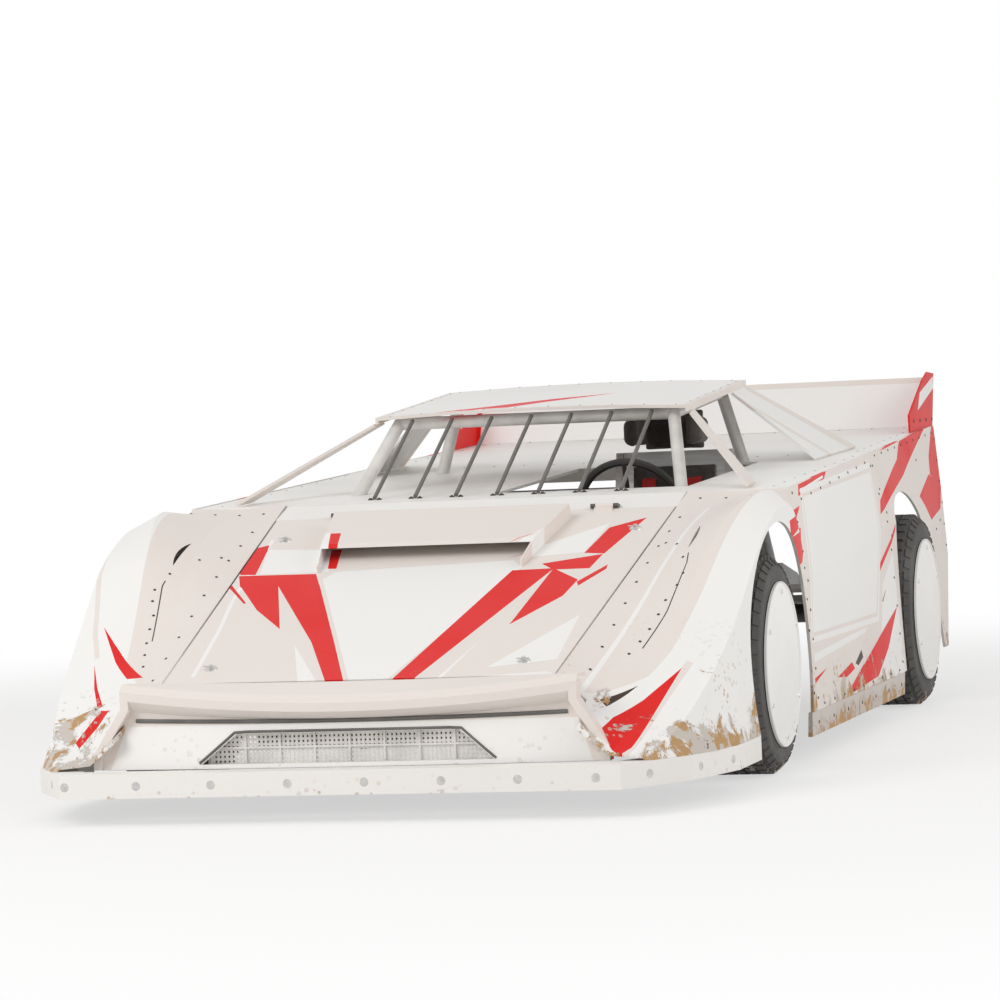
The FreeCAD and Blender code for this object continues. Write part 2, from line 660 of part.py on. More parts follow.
# The interior deck with the driver's opening, and holes for the roll cage
OPENING_X = (-40, 640)
OPENING_FROM_DOOR = 270
OPENING_BEFORE_HOOP = 35
opening_start = "%g" % OPENING_FROM_DOOR
opening_end = "(wheelbase - hoop_to_axle - door_front_y - %g)" % OPENING_BEFORE_HOOP
deck = padded("DeckPanel", "XY_Plane", deck_plan("0", "(%s - running_gap)" % TO_DECK), "sheet_wall",
              deck_spot, True)
deck_hole = deck.newObject("PartDesign::Pocket", "DriverOpening")
hole_plan = [("%g" % OPENING_X[0], opening_start), ("%g" % OPENING_X[1], opening_start),
             ("%g" % OPENING_X[1], opening_end), ("%g" % OPENING_X[0], opening_end)]
deck_hole.Profile = outline(deck, "XY_Plane", hole_plan, "DriverOpeningOutline")
tie(deck_hole, {"Length": "2 * sheet_wall"})
sloped(deck, DECK_ANGLE)

# The tail panel
tail_corner = "(tail_half - sheet_wall - 1)"
tail_top = "tail_top_z - deck_drop - 2 * sheet_wall"
tail_section = [("-" + tail_corner, tail_top), (tail_corner, tail_top),
                (tail_corner + " + 8", "tail_panel_z"),
                ("-%s - 8" % tail_corner, "tail_panel_z")]
tail = along_y("TailPanel", tail_section, TAIL_AT + " - sheet_wall", "sheet_wall")
flange_spot = ("-" + tail_corner, TAIL_AT + " - 2 * sheet_wall",
               "tail_top_z - deck_drop - 2 * sheet_wall - running_gap")
flange_high = "sheet_wall * (1 - 2 * %s)" % DECK_SLOPE
tail_flange = block("TailFlange", ("2 * " + tail_corner, "2 * sheet_wall", flange_high), flange_spot)
keep("tail_panel", fused("TailSheet", [tail, tail_flange]))

# The spoiler: a leaning blade between two side boards
BOARD_X = "(tail_half - spoiler_wall / 2)"
BOARD_OUTLINE = ((-505, 0), (-510, 70), (-180, 190), (-60, 218), (80, 205), (6, 0))
board_corners = [(TAIL_AT + " + (%g)" % y, "tail_top_z + running_gap + %g + %s * (%g)" % (z, DECK_SLOPE, y))
                 for y, z in BOARD_OUTLINE]
TIP_OVERHANG = 5
blade_foot_z = "tail_top_z - deck_drop + running_gap"
blade_section = [(TAIL_AT + " - spoiler_foot", blade_foot_z),
                 (TAIL_AT + " - spoiler_foot + spoiler_wall", blade_foot_z),
                 (TAIL_AT + " + %g + spoiler_wall" % TIP_OVERHANG, "spoiler_top_z"),
                 (TAIL_AT + " + %g" % TIP_OVERHANG, "spoiler_top_z")]
blade = padded("SpoilerBlade", "YZ_Plane", blade_section, "2 * " + BOARD_X, midplane=True)
board = padded("SpoilerBoard", "YZ_Plane", board_corners, "spoiler_wall",
               (BOARD_X + " - spoiler_wall", "0", "0"))
keep("spoiler", fused("SpoilerWhole", [blade, board, other_side(board, "SpoilerBoardRight")]))

# The roof: a crowned sheet with turned-down sides, in its own slope
CROWN_SHARE = 0.75
ROOF_RUN = "(roof_front_to_axle - roof_rear_to_axle)"
ROOF_RISE = "(roof_rear_z - roof_front_z)"
roof_edge = [("roof_half", "-roof_lip"), ("roof_half", "0"), ("roof_half / 2",
                                                              "roof_crown * %g" % CROWN_SHARE)]
roof_line = roof_edge + [("0", "roof_crown")] + [("-" + x, z) for x, z in roof_edge[::-1]]
roof_inner = [("-(roof_half - sheet_wall)", "-roof_lip"), ("-(roof_half - sheet_wall)", "-sheet_wall")]
roof_inner += [("-roof_half / 2", "roof_crown * %g - sheet_wall" % CROWN_SHARE),
               ("0", "roof_crown - sheet_wall")]
roof_inner += [(x[1:], z) for x, z in roof_inner[2::-1]]
roof = along_y("RoofPanel", roof_line + roof_inner, "front_axle_y + wheelbase - roof_front_to_axle",
               "sqrt(%s^2 + %s^2)" % (ROOF_RUN, ROOF_RISE))
tie(roof, {"Placement.Base.z": "roof_front_z"})
keep("roof", sloped(roof, {"Placement.Rotation.Angle": "atan(%s / %s)" % (ROOF_RISE, ROOF_RUN)}))


def blade_between(corners, wall):
    """A flat four-sided sheet, given by its corners, with its thickness inwards."""
    normal = (corners[1] - corners[0]).cross(corners[2] - corners[0]).normalize()
    if normal.x > 0:
        normal = normal * -1
    slip = (corners[3] - corners[0]).dot(normal) / normal.x
    corners = corners[:3] + [corners[3] - Vector(slip, 0, 0)]
    return slab(corners, normal * wall)


# The windscreen posts and the sail panels stand on the decks and carry the roof
ROOF_SEAT = size("roof_lip") + GAP
POST_LIFT = 12
SAIL_LIFT = 8.5
POST_FOOT_SHARE = 1.6
SAIL_TOP_AHEAD = 240
post_y = size("post_foot_y")
post_half = size("post_foot_half")
post_rear = post_y + POST_FOOT_SHARE * size("post_width")
post_top = ROOF_FRONT + size("post_width")
post_corners = [place(post_half, post_y, deck_z(post_y) + POST_LIFT),
                place(post_half - 6, post_rear, deck_z(post_rear) + POST_LIFT),
                place(size("roof_half"), post_top, roof_side_z(post_top) - ROOF_SEAT),
                place(size("roof_half"), ROOF_FRONT, roof_side_z(ROOF_FRONT) - ROOF_SEAT)]
keep("windscreen_posts", shaped("PostPair", both([blade_between(post_corners, WALL)])))

sail_half = size("sail_foot_half")
sail_foot = (REAR - size("sail_front_to_axle"), REAR - size("sail_rear_to_axle"))
sail_top = ROOF_REAR - SAIL_TOP_AHEAD
sail_corners = [place(size("roof_half"), sail_top, roof_side_z(sail_top) - ROOF_SEAT),
                place(size("roof_half"), ROOF_REAR, roof_side_z(ROOF_REAR) - ROOF_SEAT),
                place(sail_half, sail_foot[1], deck_z(sail_foot[1]) + SAIL_LIFT),
                place(sail_half, sail_foot[0], deck_z(sail_foot[0]) + SAIL_LIFT)]
keep("sail_panels", shaped("SailPair", both([blade_between(sail_corners, WALL)])))

# The bars in the windscreen, from the deck to the roof's front edge
BAR_HEAD_IN = 16
BAR_HEAD_DROP = 15
bar_run = "(wheelbase - roof_front_to_axle + %g - bar_foot_y)" % BAR_HEAD_IN
bar_foot_z = "(crest_z - deck_drop + %s * (bar_foot_y - door_front_y) + bar_tube + running_gap)" % DECK_SLOPE
bar_rise = "(roof_front_z - %g - %s)" % (BAR_HEAD_DROP, bar_foot_z)
bars = []
for i in range(int(size("bar_count"))):
    spot = ("(%d - (bar_count - 1) / 2) * bar_pitch" % i, "front_axle_y + bar_foot_y", bar_foot_z)
    bar = drum("WindscreenBar%d" % i, "bar_tube", "sqrt(%s^2 + %s^2)" % (bar_run, bar_rise), spot, ALONG_Z)
    bars.append(sloped(bar, {"Placement.Rotation.Angle": "-atan(%s / %s)" % (bar_run, bar_rise)}))
keep("windscreen_bars", group("WindscreenBars", bars))


# The nose: a moulded face set back in a rim along its lip and down its sides
NOSE_BOW = 40
LIP_RISE = 58
LIP_Z = 352
RIM_WIDE = 26
RIM_DEEP = 48
SIDE_BEND_Z = (205, 345)
INTAKE = ((460, 172), (350, 262))
NOSE_STATIONS = (-1, -0.6, 0, 0.6, 1)


LEAD = 4
LIP_SHARE = 0.2
NOSE_RIM = ((26, 22, 1), (0, 0, 1), (2, -26, 1), (46, -52, 0.8))


def nose_line(x):
    """The nose's outer line in Y and Z at a distance from the centre line."""
    bow = (x / size("nose_bottom_half")) ** 2
    rim_y = size("nose_y") + NOSE_BOW * bow
    rise = LIP_RISE * bow
    line = [(nose_end, hood_z(size("hood_front_y")) - LEAD + rise * LIP_SHARE)]
    line += [(rim_y + back, LIP_Z + up + rise * share) for back, up, share in NOSE_RIM]
    return line + [(rim_y + LEAD, FOOT)]


def lengthwise(x):
    """The closed section of the nose sheet at a distance from the centre line."""
    line = nose_line(x)
    points = [place(x, y, z) for y, z in line + inset(line, -WALL)[::-1]]
    return Part.makePolygon(points + points[:1])


foot_half = size("nose_bottom_half")
lip_half = size("nose_top_half")
nose = panel([lengthwise(share * foot_half) for share in NOSE_STATIONS])
side_edge = [(foot_half, 0), (foot_half, SIDE_BEND_Z[0]), (lip_half, SIDE_BEND_Z[1]), (lip_half, CREST)]
trim = [Vector(x, -FAR, z) for x, z in side_edge] + [Vector(-x, -FAR, z) for x, z in side_edge[::-1]]
nose = nose.common(slab(trim, Vector(0, FAR, 0)))
rim_top = LIP_Z + LIP_RISE * (lip_half / foot_half) ** 2
rim_y = size("nose_y") + NOSE_BOW * (lip_half / foot_half) ** 2
RIM_DROP = 6
outer_rim = [(foot_half, FOOT), (foot_half, SIDE_BEND_Z[0]), (lip_half, SIDE_BEND_Z[1]), (lip_half, rim_top)]
inner_rim = [(lip_half - RIM_WIDE, rim_top), (lip_half - RIM_WIDE, SIDE_BEND_Z[1] - RIM_DROP),
             (foot_half - RIM_WIDE, SIDE_BEND_Z[0] - RIM_DROP), (foot_half - RIM_WIDE, FOOT)]
rim = [place(x, rim_y, z) for x, z in outer_rim + inner_rim]
side_rim = slab(rim, Vector(0, RIM_DEEP, 0))
nose = join([nose, side_rim, mirrored(side_rim)])
intake = [Vector(side * x, -FAR, z) for side, (x, z) in ((-1, INTAKE[0]), (1, INTAKE[0]), (1, INTAKE[1]),
                                                         (-1, INTAKE[1]))]
INTAKE_STOP = 40
nose = nose.cut(slab(intake, Vector(0, FAR + AXLE_Y + nose_end - INTAKE_STOP, 0)))
nose = nose.cut(fender).cut(mirrored(fender))
nose = max(nose.Solids, key=lambda solid: solid.Volume)
keep("nose", shaped("NoseShell", nose))

# The splitter: a band round the front, with a ledge under the nose
SPLITTER_CORNERS = ((0, -740), (75, -1040))
strip = size("strip_wall")
plan_half = [(HALF, size("splitter_end_y"))] + [(HALF - x, y) for x, y in SPLITTER_CORNERS]
plan_half.append((size("splitter_half"), size("splitter_y")))
plan = plan_half + [(-x, y) for x, y in plan_half[::-1]]
LEDGE_WALL = 10
band_points = [place(x, y, size("splitter_z")) for x, y in plan + inset(plan, strip)[::-1]]
ledge_points = [place(x, y, FOOT - LEDGE_WALL) for x, y in plan + inset(plan, size("splitter_ledge"))[::-1]]
band = slab(band_points, Vector(0, 0, FOOT - GAP - size("splitter_z")))
ledge = slab(ledge_points, Vector(0, 0, LEDGE_WALL - GAP))
keep("splitter", shaped("SplitterBand", join([band, ledge])))

# The screen behind the intake
SCREEN_ROD = 6
SCREEN_BARS = 9
SCREEN_PITCH = 110
SCREEN_Z = (165, 215, 269)
SCREEN_BACK = 57.9
SCREEN_OVERHANG = 13
screen_y = size("nose_y") + SCREEN_BACK
screen_half = SCREEN_PITCH * (SCREEN_BARS - 1) / 2
screen = []
for i in range(SCREEN_BARS):
    corner = place(i * SCREEN_PITCH - screen_half - SCREEN_ROD / 2, screen_y, SCREEN_Z[0])
    screen.append(Part.makeBox(SCREEN_ROD, SCREEN_ROD, SCREEN_Z[-1] - SCREEN_Z[0] + SCREEN_ROD, corner))
for z in SCREEN_Z:
    corner = place(-screen_half - SCREEN_OVERHANG, screen_y, z)
    screen.append(Part.makeBox(2 * (screen_half + SCREEN_OVERHANG), SCREEN_ROD, SCREEN_ROD, corner))
keep("intake_screen", shaped("IntakeScreen", join(screen)))

# The main frame: rails and cross members of rectangular tube, mitred where they meet
wide = size("rail_wide")
high = size("rail_high")
clip = size("clip_half")
clip_z = size("clip_z")
rail = size("rail_half")
rail_z = size("rail_z")
rear_rail = size("rear_rail_half")
RAIL_END_Y = -860
CLIP_TAPER = 60
KICK_Z = (470, 500, 430)
CLIP_Y = (-380, 520)
SIDE_Y = (700, HOOP + 60)
KICK_Y = (REAR - 330, REAR + 300, REAR + 880)
left_path = [place(clip - CLIP_TAPER, RAIL_END_Y, clip_z), place(clip, CLIP_Y[0], clip_z),
             place(clip, CLIP_Y[1], clip_z), place(rail, SIDE_Y[0], rail_z), place(rail, SIDE_Y[1], rail_z),
             place(rear_rail, KICK_Y[0], KICK_Z[0]), place(rear_rail, KICK_Y[1], KICK_Z[1]),
             place(rear_rail - CLIP_TAPER, KICK_Y[2], KICK_Z[2])]


def level_side(start, end):
    """The unit vector to the left of a run, level."""
    return Vector(end.y - start.y, start.x - end.x, 0).normalize()


def mitred_rail(path, grow=0):
    """The straight solids of a rectangular tube along a path, each cut at half the bend."""
    offsets = []
    for i, point in enumerate(path):
        legs = [level_side(path[j], path[j + 1]) for j in (i - 1, i) if 0 <= j < len(path) - 1]
        total = sum(legs, Vector())
        offsets.append(total * ((wide + grow) / 2 * len(legs) / total.dot(total)))
    rise = Vector(0, 0, (high + grow) / 2)
    solids = []
    for i in range(len(path) - 1):
        step = (path[i + 1] - path[i]).normalize() * (GAP / 2)
        near = path[i] + step
        far = path[i + 1] - step
        foot = [near + offsets[i] - rise, near - offsets[i] - rise,
                far - offsets[i + 1] - rise, far + offsets[i + 1] - rise]
        if path[i].z == path[i + 1].z:
            solids.append(slab(foot, rise * 2))
            continue
        ends = []
        for a, b in (foot[:2], foot[:1:-1]):
            corners = [a, b, b + rise * 2, a + rise * 2]
            ends.append(Part.makePolygon(corners + corners[:1]))
        solids.append(Part.makeLoft(ends, True, True))
    return solids


def cross_member(y, z, half, deep=wide, tall=size("cross_high")):
    """A straight bar between the rails, from one side to the other."""
    return Part.makeBox(2 * half, deep, tall, place(-half, y - deep / 2, z - tall / 2))


def rear_rail_at(y):
    """The middle of a rear rail behind the axle, in X and Z."""
    part = share_of(y, *KICK_Y[1:])
    return blend(part, rear_rail, rear_rail - CLIP_TAPER), blend(part, KICK_Z[1], KICK_Z[2])


CRADLE = 30
SHOE = wide / 2 + GAP
RAIL_FRONT = RAIL_END_Y - wide / 2 - GAP
cell_z = size("cell_z")
ENGINE_CROSS_Y = -330
FLOOR_CROSS_Y = DOOR_FRONT + 250
TAIL_CROSS_Y = REAR + 250
TAIL_CROSS_DROP = 3
frame_middle = [cross_member(RAIL_FRONT, clip_z, clip - CLIP_TAPER + wide / 2),
                cross_member(ENGINE_CROSS_Y, clip_z, clip - SHOE),
                cross_member(FLOOR_CROSS_Y, rail_z, rail - SHOE), cross_member(HOOP, rail_z, rail - SHOE),
                cross_member(TAIL_CROSS_Y, KICK_Z[1] - TAIL_CROSS_DROP, rear_rail - SHOE),
                cross_member(KICK_Y[2] + SHOE, KICK_Z[2], rear_rail - CLIP_TAPER + wide / 2)]
radiator_seat = size("radiator_z") - GAP - CRADLE / 2
CRADLE_TAPER = 0.95
CRADLE_SLACK = 0.1
CELL_STRAP_Y = (REAR + 400, REAR + 740)
HANGER_SLACK = 2
cradle_half = clip - CLIP_TAPER * CRADLE_TAPER - SHOE - CRADLE_SLACK
frame_middle.append(cross_member(size("radiator_y") + CRADLE, radiator_seat, cradle_half, CRADLE, CRADLE))
frame_sides = mitred_rail(left_path)
for y in CELL_STRAP_Y:
    reach, hang = rear_rail_at(y)
    frame_middle.append(cross_member(y, cell_z - CRADLE / 2 - GAP, reach + CRADLE / 2, CRADLE, CRADLE))
    hanger_high = hang - high / 2 - HANGER_SLACK - cell_z
    frame_sides.append(Part.makeBox(CRADLE, CRADLE, hanger_high,
                                    place(reach - CRADLE / 2, y - CRADLE / 2, cell_z)))
wheel_z = size("tyre_radius_front")
knuckle_half = size("knuckle_height") / 2
UPPER_BALL = 36
LOWER_BALL = 40
UPPER_ROD = 14
PIVOT_X = 430
PIVOT_HALF = 150
upper_z = wheel_z + knuckle_half + UPPER_BALL / 2 + GAP
PIVOT_DROP = 10
pivot_z = upper_z - PIVOT_DROP
tower_foot = clip_z + high / 2 + GAP
TOWER = (60, 40)
frame_sides.append(Part.makeBox(TOWER[0], TOWER[1], pivot_z - UPPER_ROD - GAP - tower_foot,
                                place(clip - wide / 2, -TOWER[1] / 2, tower_foot)))
engine_side = size("engine_width") / 2 + GAP
MOUNT = (80, 36)
MOUNT_Y = 60
frame_sides.append(Part.makeBox(clip - SHOE - engine_side, MOUNT[0], MOUNT[1],
                                place(engine_side, MOUNT_Y, size("engine_z"))))
TOW_PLATE = (90, 70)
tow_spots = ((RAIL_FRONT - SHOE - TOW_PLATE[0], clip_z), (KICK_Y[2] + SHOE + wide / 2 + GAP, KICK_Z[2]))
for start_y, tow_z in tow_spots:
    plate = Part.makeBox(size("tow_wall"), TOW_PLATE[0], TOW_PLATE[1],
                         place(-size("tow_wall") / 2, start_y, tow_z - TOW_PLATE[1] / 2))
    hole = place(-size("tow_wall"), start_y + TOW_PLATE[0] / 2, tow_z)
    frame_middle.append(plate.cut(Part.makeCylinder(size("tow_hole"), 2 * size("tow_wall"), hole, ALONG_X)))
keep("main_frame", shaped("MainFrame", Part.makeCompound(frame_middle + both(frame_sides).Solids)))

# The roll cage: tubes bent or coped where they meet, each solid a straight one
HALO_X = 500


def halo_z(y):
    """Height of the halo's tubes, just under the roof sheet."""
    crown_slope = size("roof_crown") * CROWN_SHARE / (size("roof_half") / 2)
    roof_slope = (size("roof_rear_z") - size("roof_front_z")) / (ROOF_REAR - ROOF_FRONT)
    outer = roof_side_z(y) + crown_slope * (size("roof_half") - HALO_X - WALL)
    return outer - (WALL + TUBE + 3 * GAP) * math.sqrt(1 + crown_slope ** 2 + roof_slope ** 2)


def bent_tube(path, radius=TUBE, gap=GAP):
    """The straight solids of a tube along a path, each cut at half the bend."""
    runs = [(end - start).normalize() for start, end in zip(path, path[1:])]
    solids = []
    for i, run in enumerate(runs):
        start = path[i]
        end = path[i + 1]
        cutters = []
        if i:
            normal = (runs[i - 1] + run).normalize()
            cutters.append(Part.makeCylinder(4 * radius, 4 * radius, start + normal * (gap / 2), normal * -1))
            start = start - run * (2 * radius)
        if i < len(runs) - 1:
            normal = (run + runs[i + 1]).normalize()
            cutters.append(Part.makeCylinder(4 * radius, 4 * radius, end - normal * (gap / 2), normal))
            end = end + run * (2 * radius)
        tube = rod(start, end, radius)
        for cutter in cutters:
            tube = tube.cut(cutter)
        solids.append(tube)
    return solids


def coped(tube, others):
    """A tube less the room of the tubes it meets, given by their ends."""
    for start, end in others:
        tube = tube.cut(rod(start, end, TUBE + GAP))
    return max(tube.Solids, key=lambda solid: solid.Volume)


def above(solids, z):
    """Tubes cut off level where they stand."""
    ground = Part.makeBox(2 * FAR, 2 * FAR, z, Vector(-FAR, -FAR, 0))
    return [solid.cut(ground) for solid in solids]


def on_line(start, end, part):
    """The point at a share of the way along a line."""
    return start + (end - start) * part


def flip(point):
    """The same point on the car's other side."""
    return Vector(-point.x, point.y, point.z)


LEG_FOOT_Y = 760
LEG_WAIST_Y = 790
WAIST_Z = (800, 860)
halo_front_y = ROOF_FRONT + 70
cage_z = rail_z + high / 2 + GAP
halo_front = place(HALO_X, halo_front_y, halo_z(halo_front_y))
halo_rear = place(HALO_X, HOOP, halo_z(HOOP))
hoop_foot = place(rail, HOOP, rail_z)
hoop_waist = place(rail - 40, HOOP, WAIST_Z[1])
leg_foot = place(rail, LEG_FOOT_Y, rail_z)
leg_waist = place(rail - 25, LEG_WAIST_Y, WAIST_Z[0])
hoop_path = [hoop_foot, hoop_waist, halo_rear]
leg_path = [leg_foot, leg_waist, halo_front]
hoop_lines = [(hoop_foot, hoop_waist), (hoop_waist, halo_rear)]
leg_lines = [(leg_foot, leg_waist), (leg_waist, halo_front)]
cage = above(bent_tube(hoop_path + [flip(point) for point in hoop_path[::-1]]), cage_z)
cage += above(bent_tube(leg_path + [flip(point) for point in leg_path[::-1]]), cage_z)
for waist, lines in ((hoop_waist, hoop_lines), (leg_waist, leg_lines)):
    across_lines = lines + [(flip(start), flip(end)) for start, end in lines]
    cage.append(coped(rod(waist, flip(waist), TUBE), across_lines))

cage_sides = []
top_lines = [hoop_lines[1], leg_lines[1], (halo_rear, flip(halo_rear)), (halo_front, flip(halo_front))]
cage_sides.append(coped(rod(halo_rear, halo_front, TUBE), top_lines))
SIDE_BARS_Z = (330, 500, 660)
side_bars = []
for z in SIDE_BARS_Z:
    front = on_line(leg_foot, leg_waist, share_of(z, rail_z, WAIST_Z[0]))
    rear = on_line(hoop_foot, hoop_waist, share_of(z, rail_z, WAIST_Z[1]))
    side_bars.append((front, rear))
    cage_sides.append(coped(rod(front, rear, TUBE), [hoop_lines[0], leg_lines[0]]))

CLIP_TOP = (clip + 30, -260, 600)
clip_top = place(*CLIP_TOP)
clip_foot = place(clip, CLIP_TOP[1], clip_z)
waist_lines = leg_lines + [(leg_waist, flip(leg_waist))]
clip_tubes = bent_tube([leg_waist, clip_top, clip_foot])
clip_tubes = [coped(clip_tubes[0], waist_lines)] + above(clip_tubes[1:], clip_z + high / 2 + GAP)
cage_sides += clip_tubes
clip_lines = [(leg_waist, clip_top), (clip_top, clip_foot)]
cage.append(coped(rod(clip_top, flip(clip_top), TUBE), clip_lines + [(flip(start), flip(end)) for start,
                                                                     end in clip_lines]))

BRACE_Y = 240
brace_rear = place(rear_rail, REAR + BRACE_Y, KICK_Z[1])
rail_room = mitred_rail(left_path[5:7], 2 * GAP)[0]
brace = coped(rod(hoop_waist, brace_rear, TUBE), hoop_lines + [(hoop_waist, flip(hoop_waist))]).cut(rail_room)
cage_sides.append(max(brace.Solids, key=lambda solid: solid.Volume))
DAMPER_BAR_Y = -110
damper_bar = on_line(hoop_waist, brace_rear, share_of(REAR + DAMPER_BAR_Y, HOOP, REAR + BRACE_Y))
brace_lines = [(hoop_waist, brace_rear), (flip(hoop_waist), flip(brace_rear))]
cage.append(coped(rod(damper_bar, flip(damper_bar), TUBE), brace_lines))


def door_inner(y, z):
    """How far the door's lower inner face stands from the centre line."""
    part = share_of(y, DOOR_FRONT, DOOR_REAR)
    crease_in = blend(part, DOOR_CREASE[0], REAR_CREASE[0])
    crease_z = top_z(y) - blend(part, DOOR_CREASE[1], REAR_CREASE[1])
    foot_in = blend(part, DOOR_FOOT_IN, REAR_FOOT_IN)
    return HALF - blend(share_of(z, crease_z, FOOT), crease_in, foot_in) - WALL


# Stays from the side bars to the doors
STAY_RADIUS = 15
STAY_SHARES = (0.2, 0.8)
for part in STAY_SHARES:
    start = on_line(*side_bars[1], part)
    y = start.y - AXLE_Y
    reach = door_inner(y, start.z) - GAP - 1
    stay = rod(start, Vector(reach, start.y, start.z), STAY_RADIUS)
    cage_sides.append(stay.cut(rod(*side_bars[1], TUBE + GAP)))
keep("roll_cage", shaped("RollCage", Part.makeCompound(cage + both(cage_sides).Solids)))

PASSAGE = 3
passages = [rod(start, end, TUBE + PASSAGE) for start, end in (leg_lines[1], hoop_lines[1])]
keep("interior_deck", cut_by("DeckWithPassages", deck, shaped("CagePassages", both(passages))))

# The cockpit sheet: floor, tunnel, firewall and rear bulkhead, each a flat sheet
FLOOR_UNDER = "(rail_z + cross_high / 2 + running_gap)"
FLOOR_TOP = "(%s + floor_wall)" % FLOOR_UNDER
FIREWALL_AT = "(front_axle_y + firewall_y)"
BULKHEAD_AT = "(%s - cage_tube - 4 - floor_wall)" % HOOP_AT
floor_start = FIREWALL_AT + " + floor_wall + running_gap"
floor_run = "(%s - %s - floor_wall - 2 * running_gap)" % (BULKHEAD_AT, FIREWALL_AT)
FLOOR_SIDE = 28
floor_half = "(rail_half - %g)" % FLOOR_SIDE
beside_tunnel = "(tunnel_half + running_gap)"
sheets = [block("TunnelTop", ("2 * tunnel_half", floor_run, "floor_wall"),
                ("-tunnel_half", floor_start, "tunnel_z - floor_wall"))]
pairs = [block("FloorSheet", (floor_half + " - " + beside_tunnel, floor_run, "floor_wall"),
               (beside_tunnel, floor_start, FLOOR_UNDER)),
         block("TunnelSide", ("floor_wall", floor_run,
                              "tunnel_z - floor_wall - running_gap - " + FLOOR_UNDER),
               ("tunnel_half - floor_wall", floor_start, FLOOR_UNDER))]
firewall_top = "(crest_z - deck_drop - 2 * sheet_wall + %s * (firewall_y - door_front_y))" % DECK_SLOPE
for name, spot, top in (("Firewall", FIREWALL_AT, firewall_top), ("Bulkhead", BULKHEAD_AT, "bulkhead_z")):
    pairs.append(block(name + "Side", ("cockpit_half - " + beside_tunnel, "floor_wall",
                                       "%s - %s" % (top, FLOOR_UNDER)),
                       (beside_tunnel, spot, FLOOR_UNDER)))
    sheets.append(block(name + "Middle", ("2 * tunnel_half", "floor_wall", top + " - tunnel_z - running_gap"),
                        ("-tunnel_half", spot, "tunnel_z + running_gap")))
cockpit = sheets + pairs + [other_side(item, item.Name + "Right") for item in pairs]
keep("cockpit_sheet", group("CockpitSheets", cockpit))

# The seat: a bucket with side wings, and a padded headrest on its back
SEAT_SIDE = ((-630, 75), (-630, 113), (-540, 213), (-340, 233), (-220, 613), (-160, 823), (-110, 823),
             (-160, 513), (-220, 75))
SEAT_ROOM = ((-660, 113), (-540, 143), (-310, 143), (-195, 513), (-138, 853), (-460, 853), (-660, 513))
SEAT_FOOT = (30, 615, 380)


def seat_outline(points):
    """Corners in Y and Z from the hoop and the floor, as formulas."""
    return [("%s + (%g)" % (HOOP_AT, y), "%s + %g" % (FLOOR_TOP, z)) for y, z in points]


seat_shell = padded("SeatShell", "YZ_Plane", seat_outline(SEAT_SIDE), "2 * seat_half",
                    ("driver_x", "0", "0"), midplane=True)
seat_room = seat_shell.newObject("PartDesign::Pocket", "SeatRoom")
seat_room.Profile = outline(seat_shell, "YZ_Plane", seat_outline(SEAT_ROOM), "SeatRoomOutline")
seat_room.Midplane = True
tie(seat_room, {"Length": "2 * seat_half - 2 * seat_wall"})
seat_foot = block("SeatFoot", ("2 * seat_half - %g" % (2 * SEAT_FOOT[0]), "%g" % SEAT_FOOT[2],
                               "%g" % (SEAT_SIDE[1][1] - 38)),
                  ("driver_x - seat_half + %g" % SEAT_FOOT[0], "%s - %g" % (HOOP_AT, SEAT_FOOT[1]),
                   FLOOR_TOP + " + running_gap"))
keep("seat", fused("SeatWhole", [seat_shell, seat_foot]))

HEADREST = (240, 75, 155)
WING = (60, 200, 110)
WING_LAP = (30, 20, 20)
HEAD_BEFORE_HOOP = 185
head_z = "(%s + %g + running_gap)" % (FLOOR_TOP, SEAT_SIDE[5][1])
head_y = "(%s - %g)" % (HOOP_AT, HEAD_BEFORE_HOOP)
head_pad = block("HeadPad", tuple("%g" % extent for extent in HEADREST),
                 ("driver_x - %g" % (HEADREST[0] / 2), head_y, head_z))
head_pieces = [head_pad]
for name, start in (("Left", HEADREST[0] / 2 - WING[0] + WING_LAP[0]),
                    ("Right", -HEADREST[0] / 2 - WING_LAP[0])):
    head_pieces.append(block("HeadWing" + name, tuple("%g" % extent for extent in WING),
                             ("driver_x + (%g)" % start, "%s - %g" % (head_y, WING[1] - WING_LAP[1]),
                              head_z + " + %g" % WING_LAP[2])))
keep("headrest", fused("HeadrestWhole", head_pieces))

# The steering wheel with its column, which ends at the firewall
WHEEL_BEFORE_HOOP = 840
WHEEL_Z = 830
COLUMN_FOOT_Z = 650
wheel_centre = place(size("driver_x"), HOOP - WHEEL_BEFORE_HOOP, WHEEL_Z)
wall_face = size("firewall_y") + size("floor_wall")
column = Vector(0, wall_face - HOOP + WHEEL_BEFORE_HOOP, COLUMN_FOOT_Z - WHEEL_Z).normalize()
foot_clear = GAP + size("column_radius") * math.sqrt(1 - column.y ** 2)
column_foot = wheel_centre + column * ((wall_face + foot_clear - HOOP + WHEEL_BEFORE_HOOP) / column.y)
GRIP_SIDES = 8
HUB = (40, 20)
SPOKE_RADIUS = 8
SPOKE_TURNS = (90, 210, 330)
grip = size("grip_radius")
ring_corners = []
for i in range(GRIP_SIDES + 1):
    angle = 2 * math.pi * i / GRIP_SIDES
    ring_corners.append(Vector(math.sin(angle) * grip, 0, size("ring_radius") + math.cos(angle) * grip))
ring = Part.Face(Part.makePolygon(ring_corners)).revolve(ORIGIN, ALONG_X, 360)
ring.Placement = FreeCAD.Placement(wheel_centre, FreeCAD.Rotation(ALONG_X, column))
steering = [ring, rod(wheel_centre, column_foot, size("column_radius")),
            Part.makeCylinder(HUB[0], HUB[1], wheel_centre, column)]
level = ALONG_Z.cross(column).normalize()
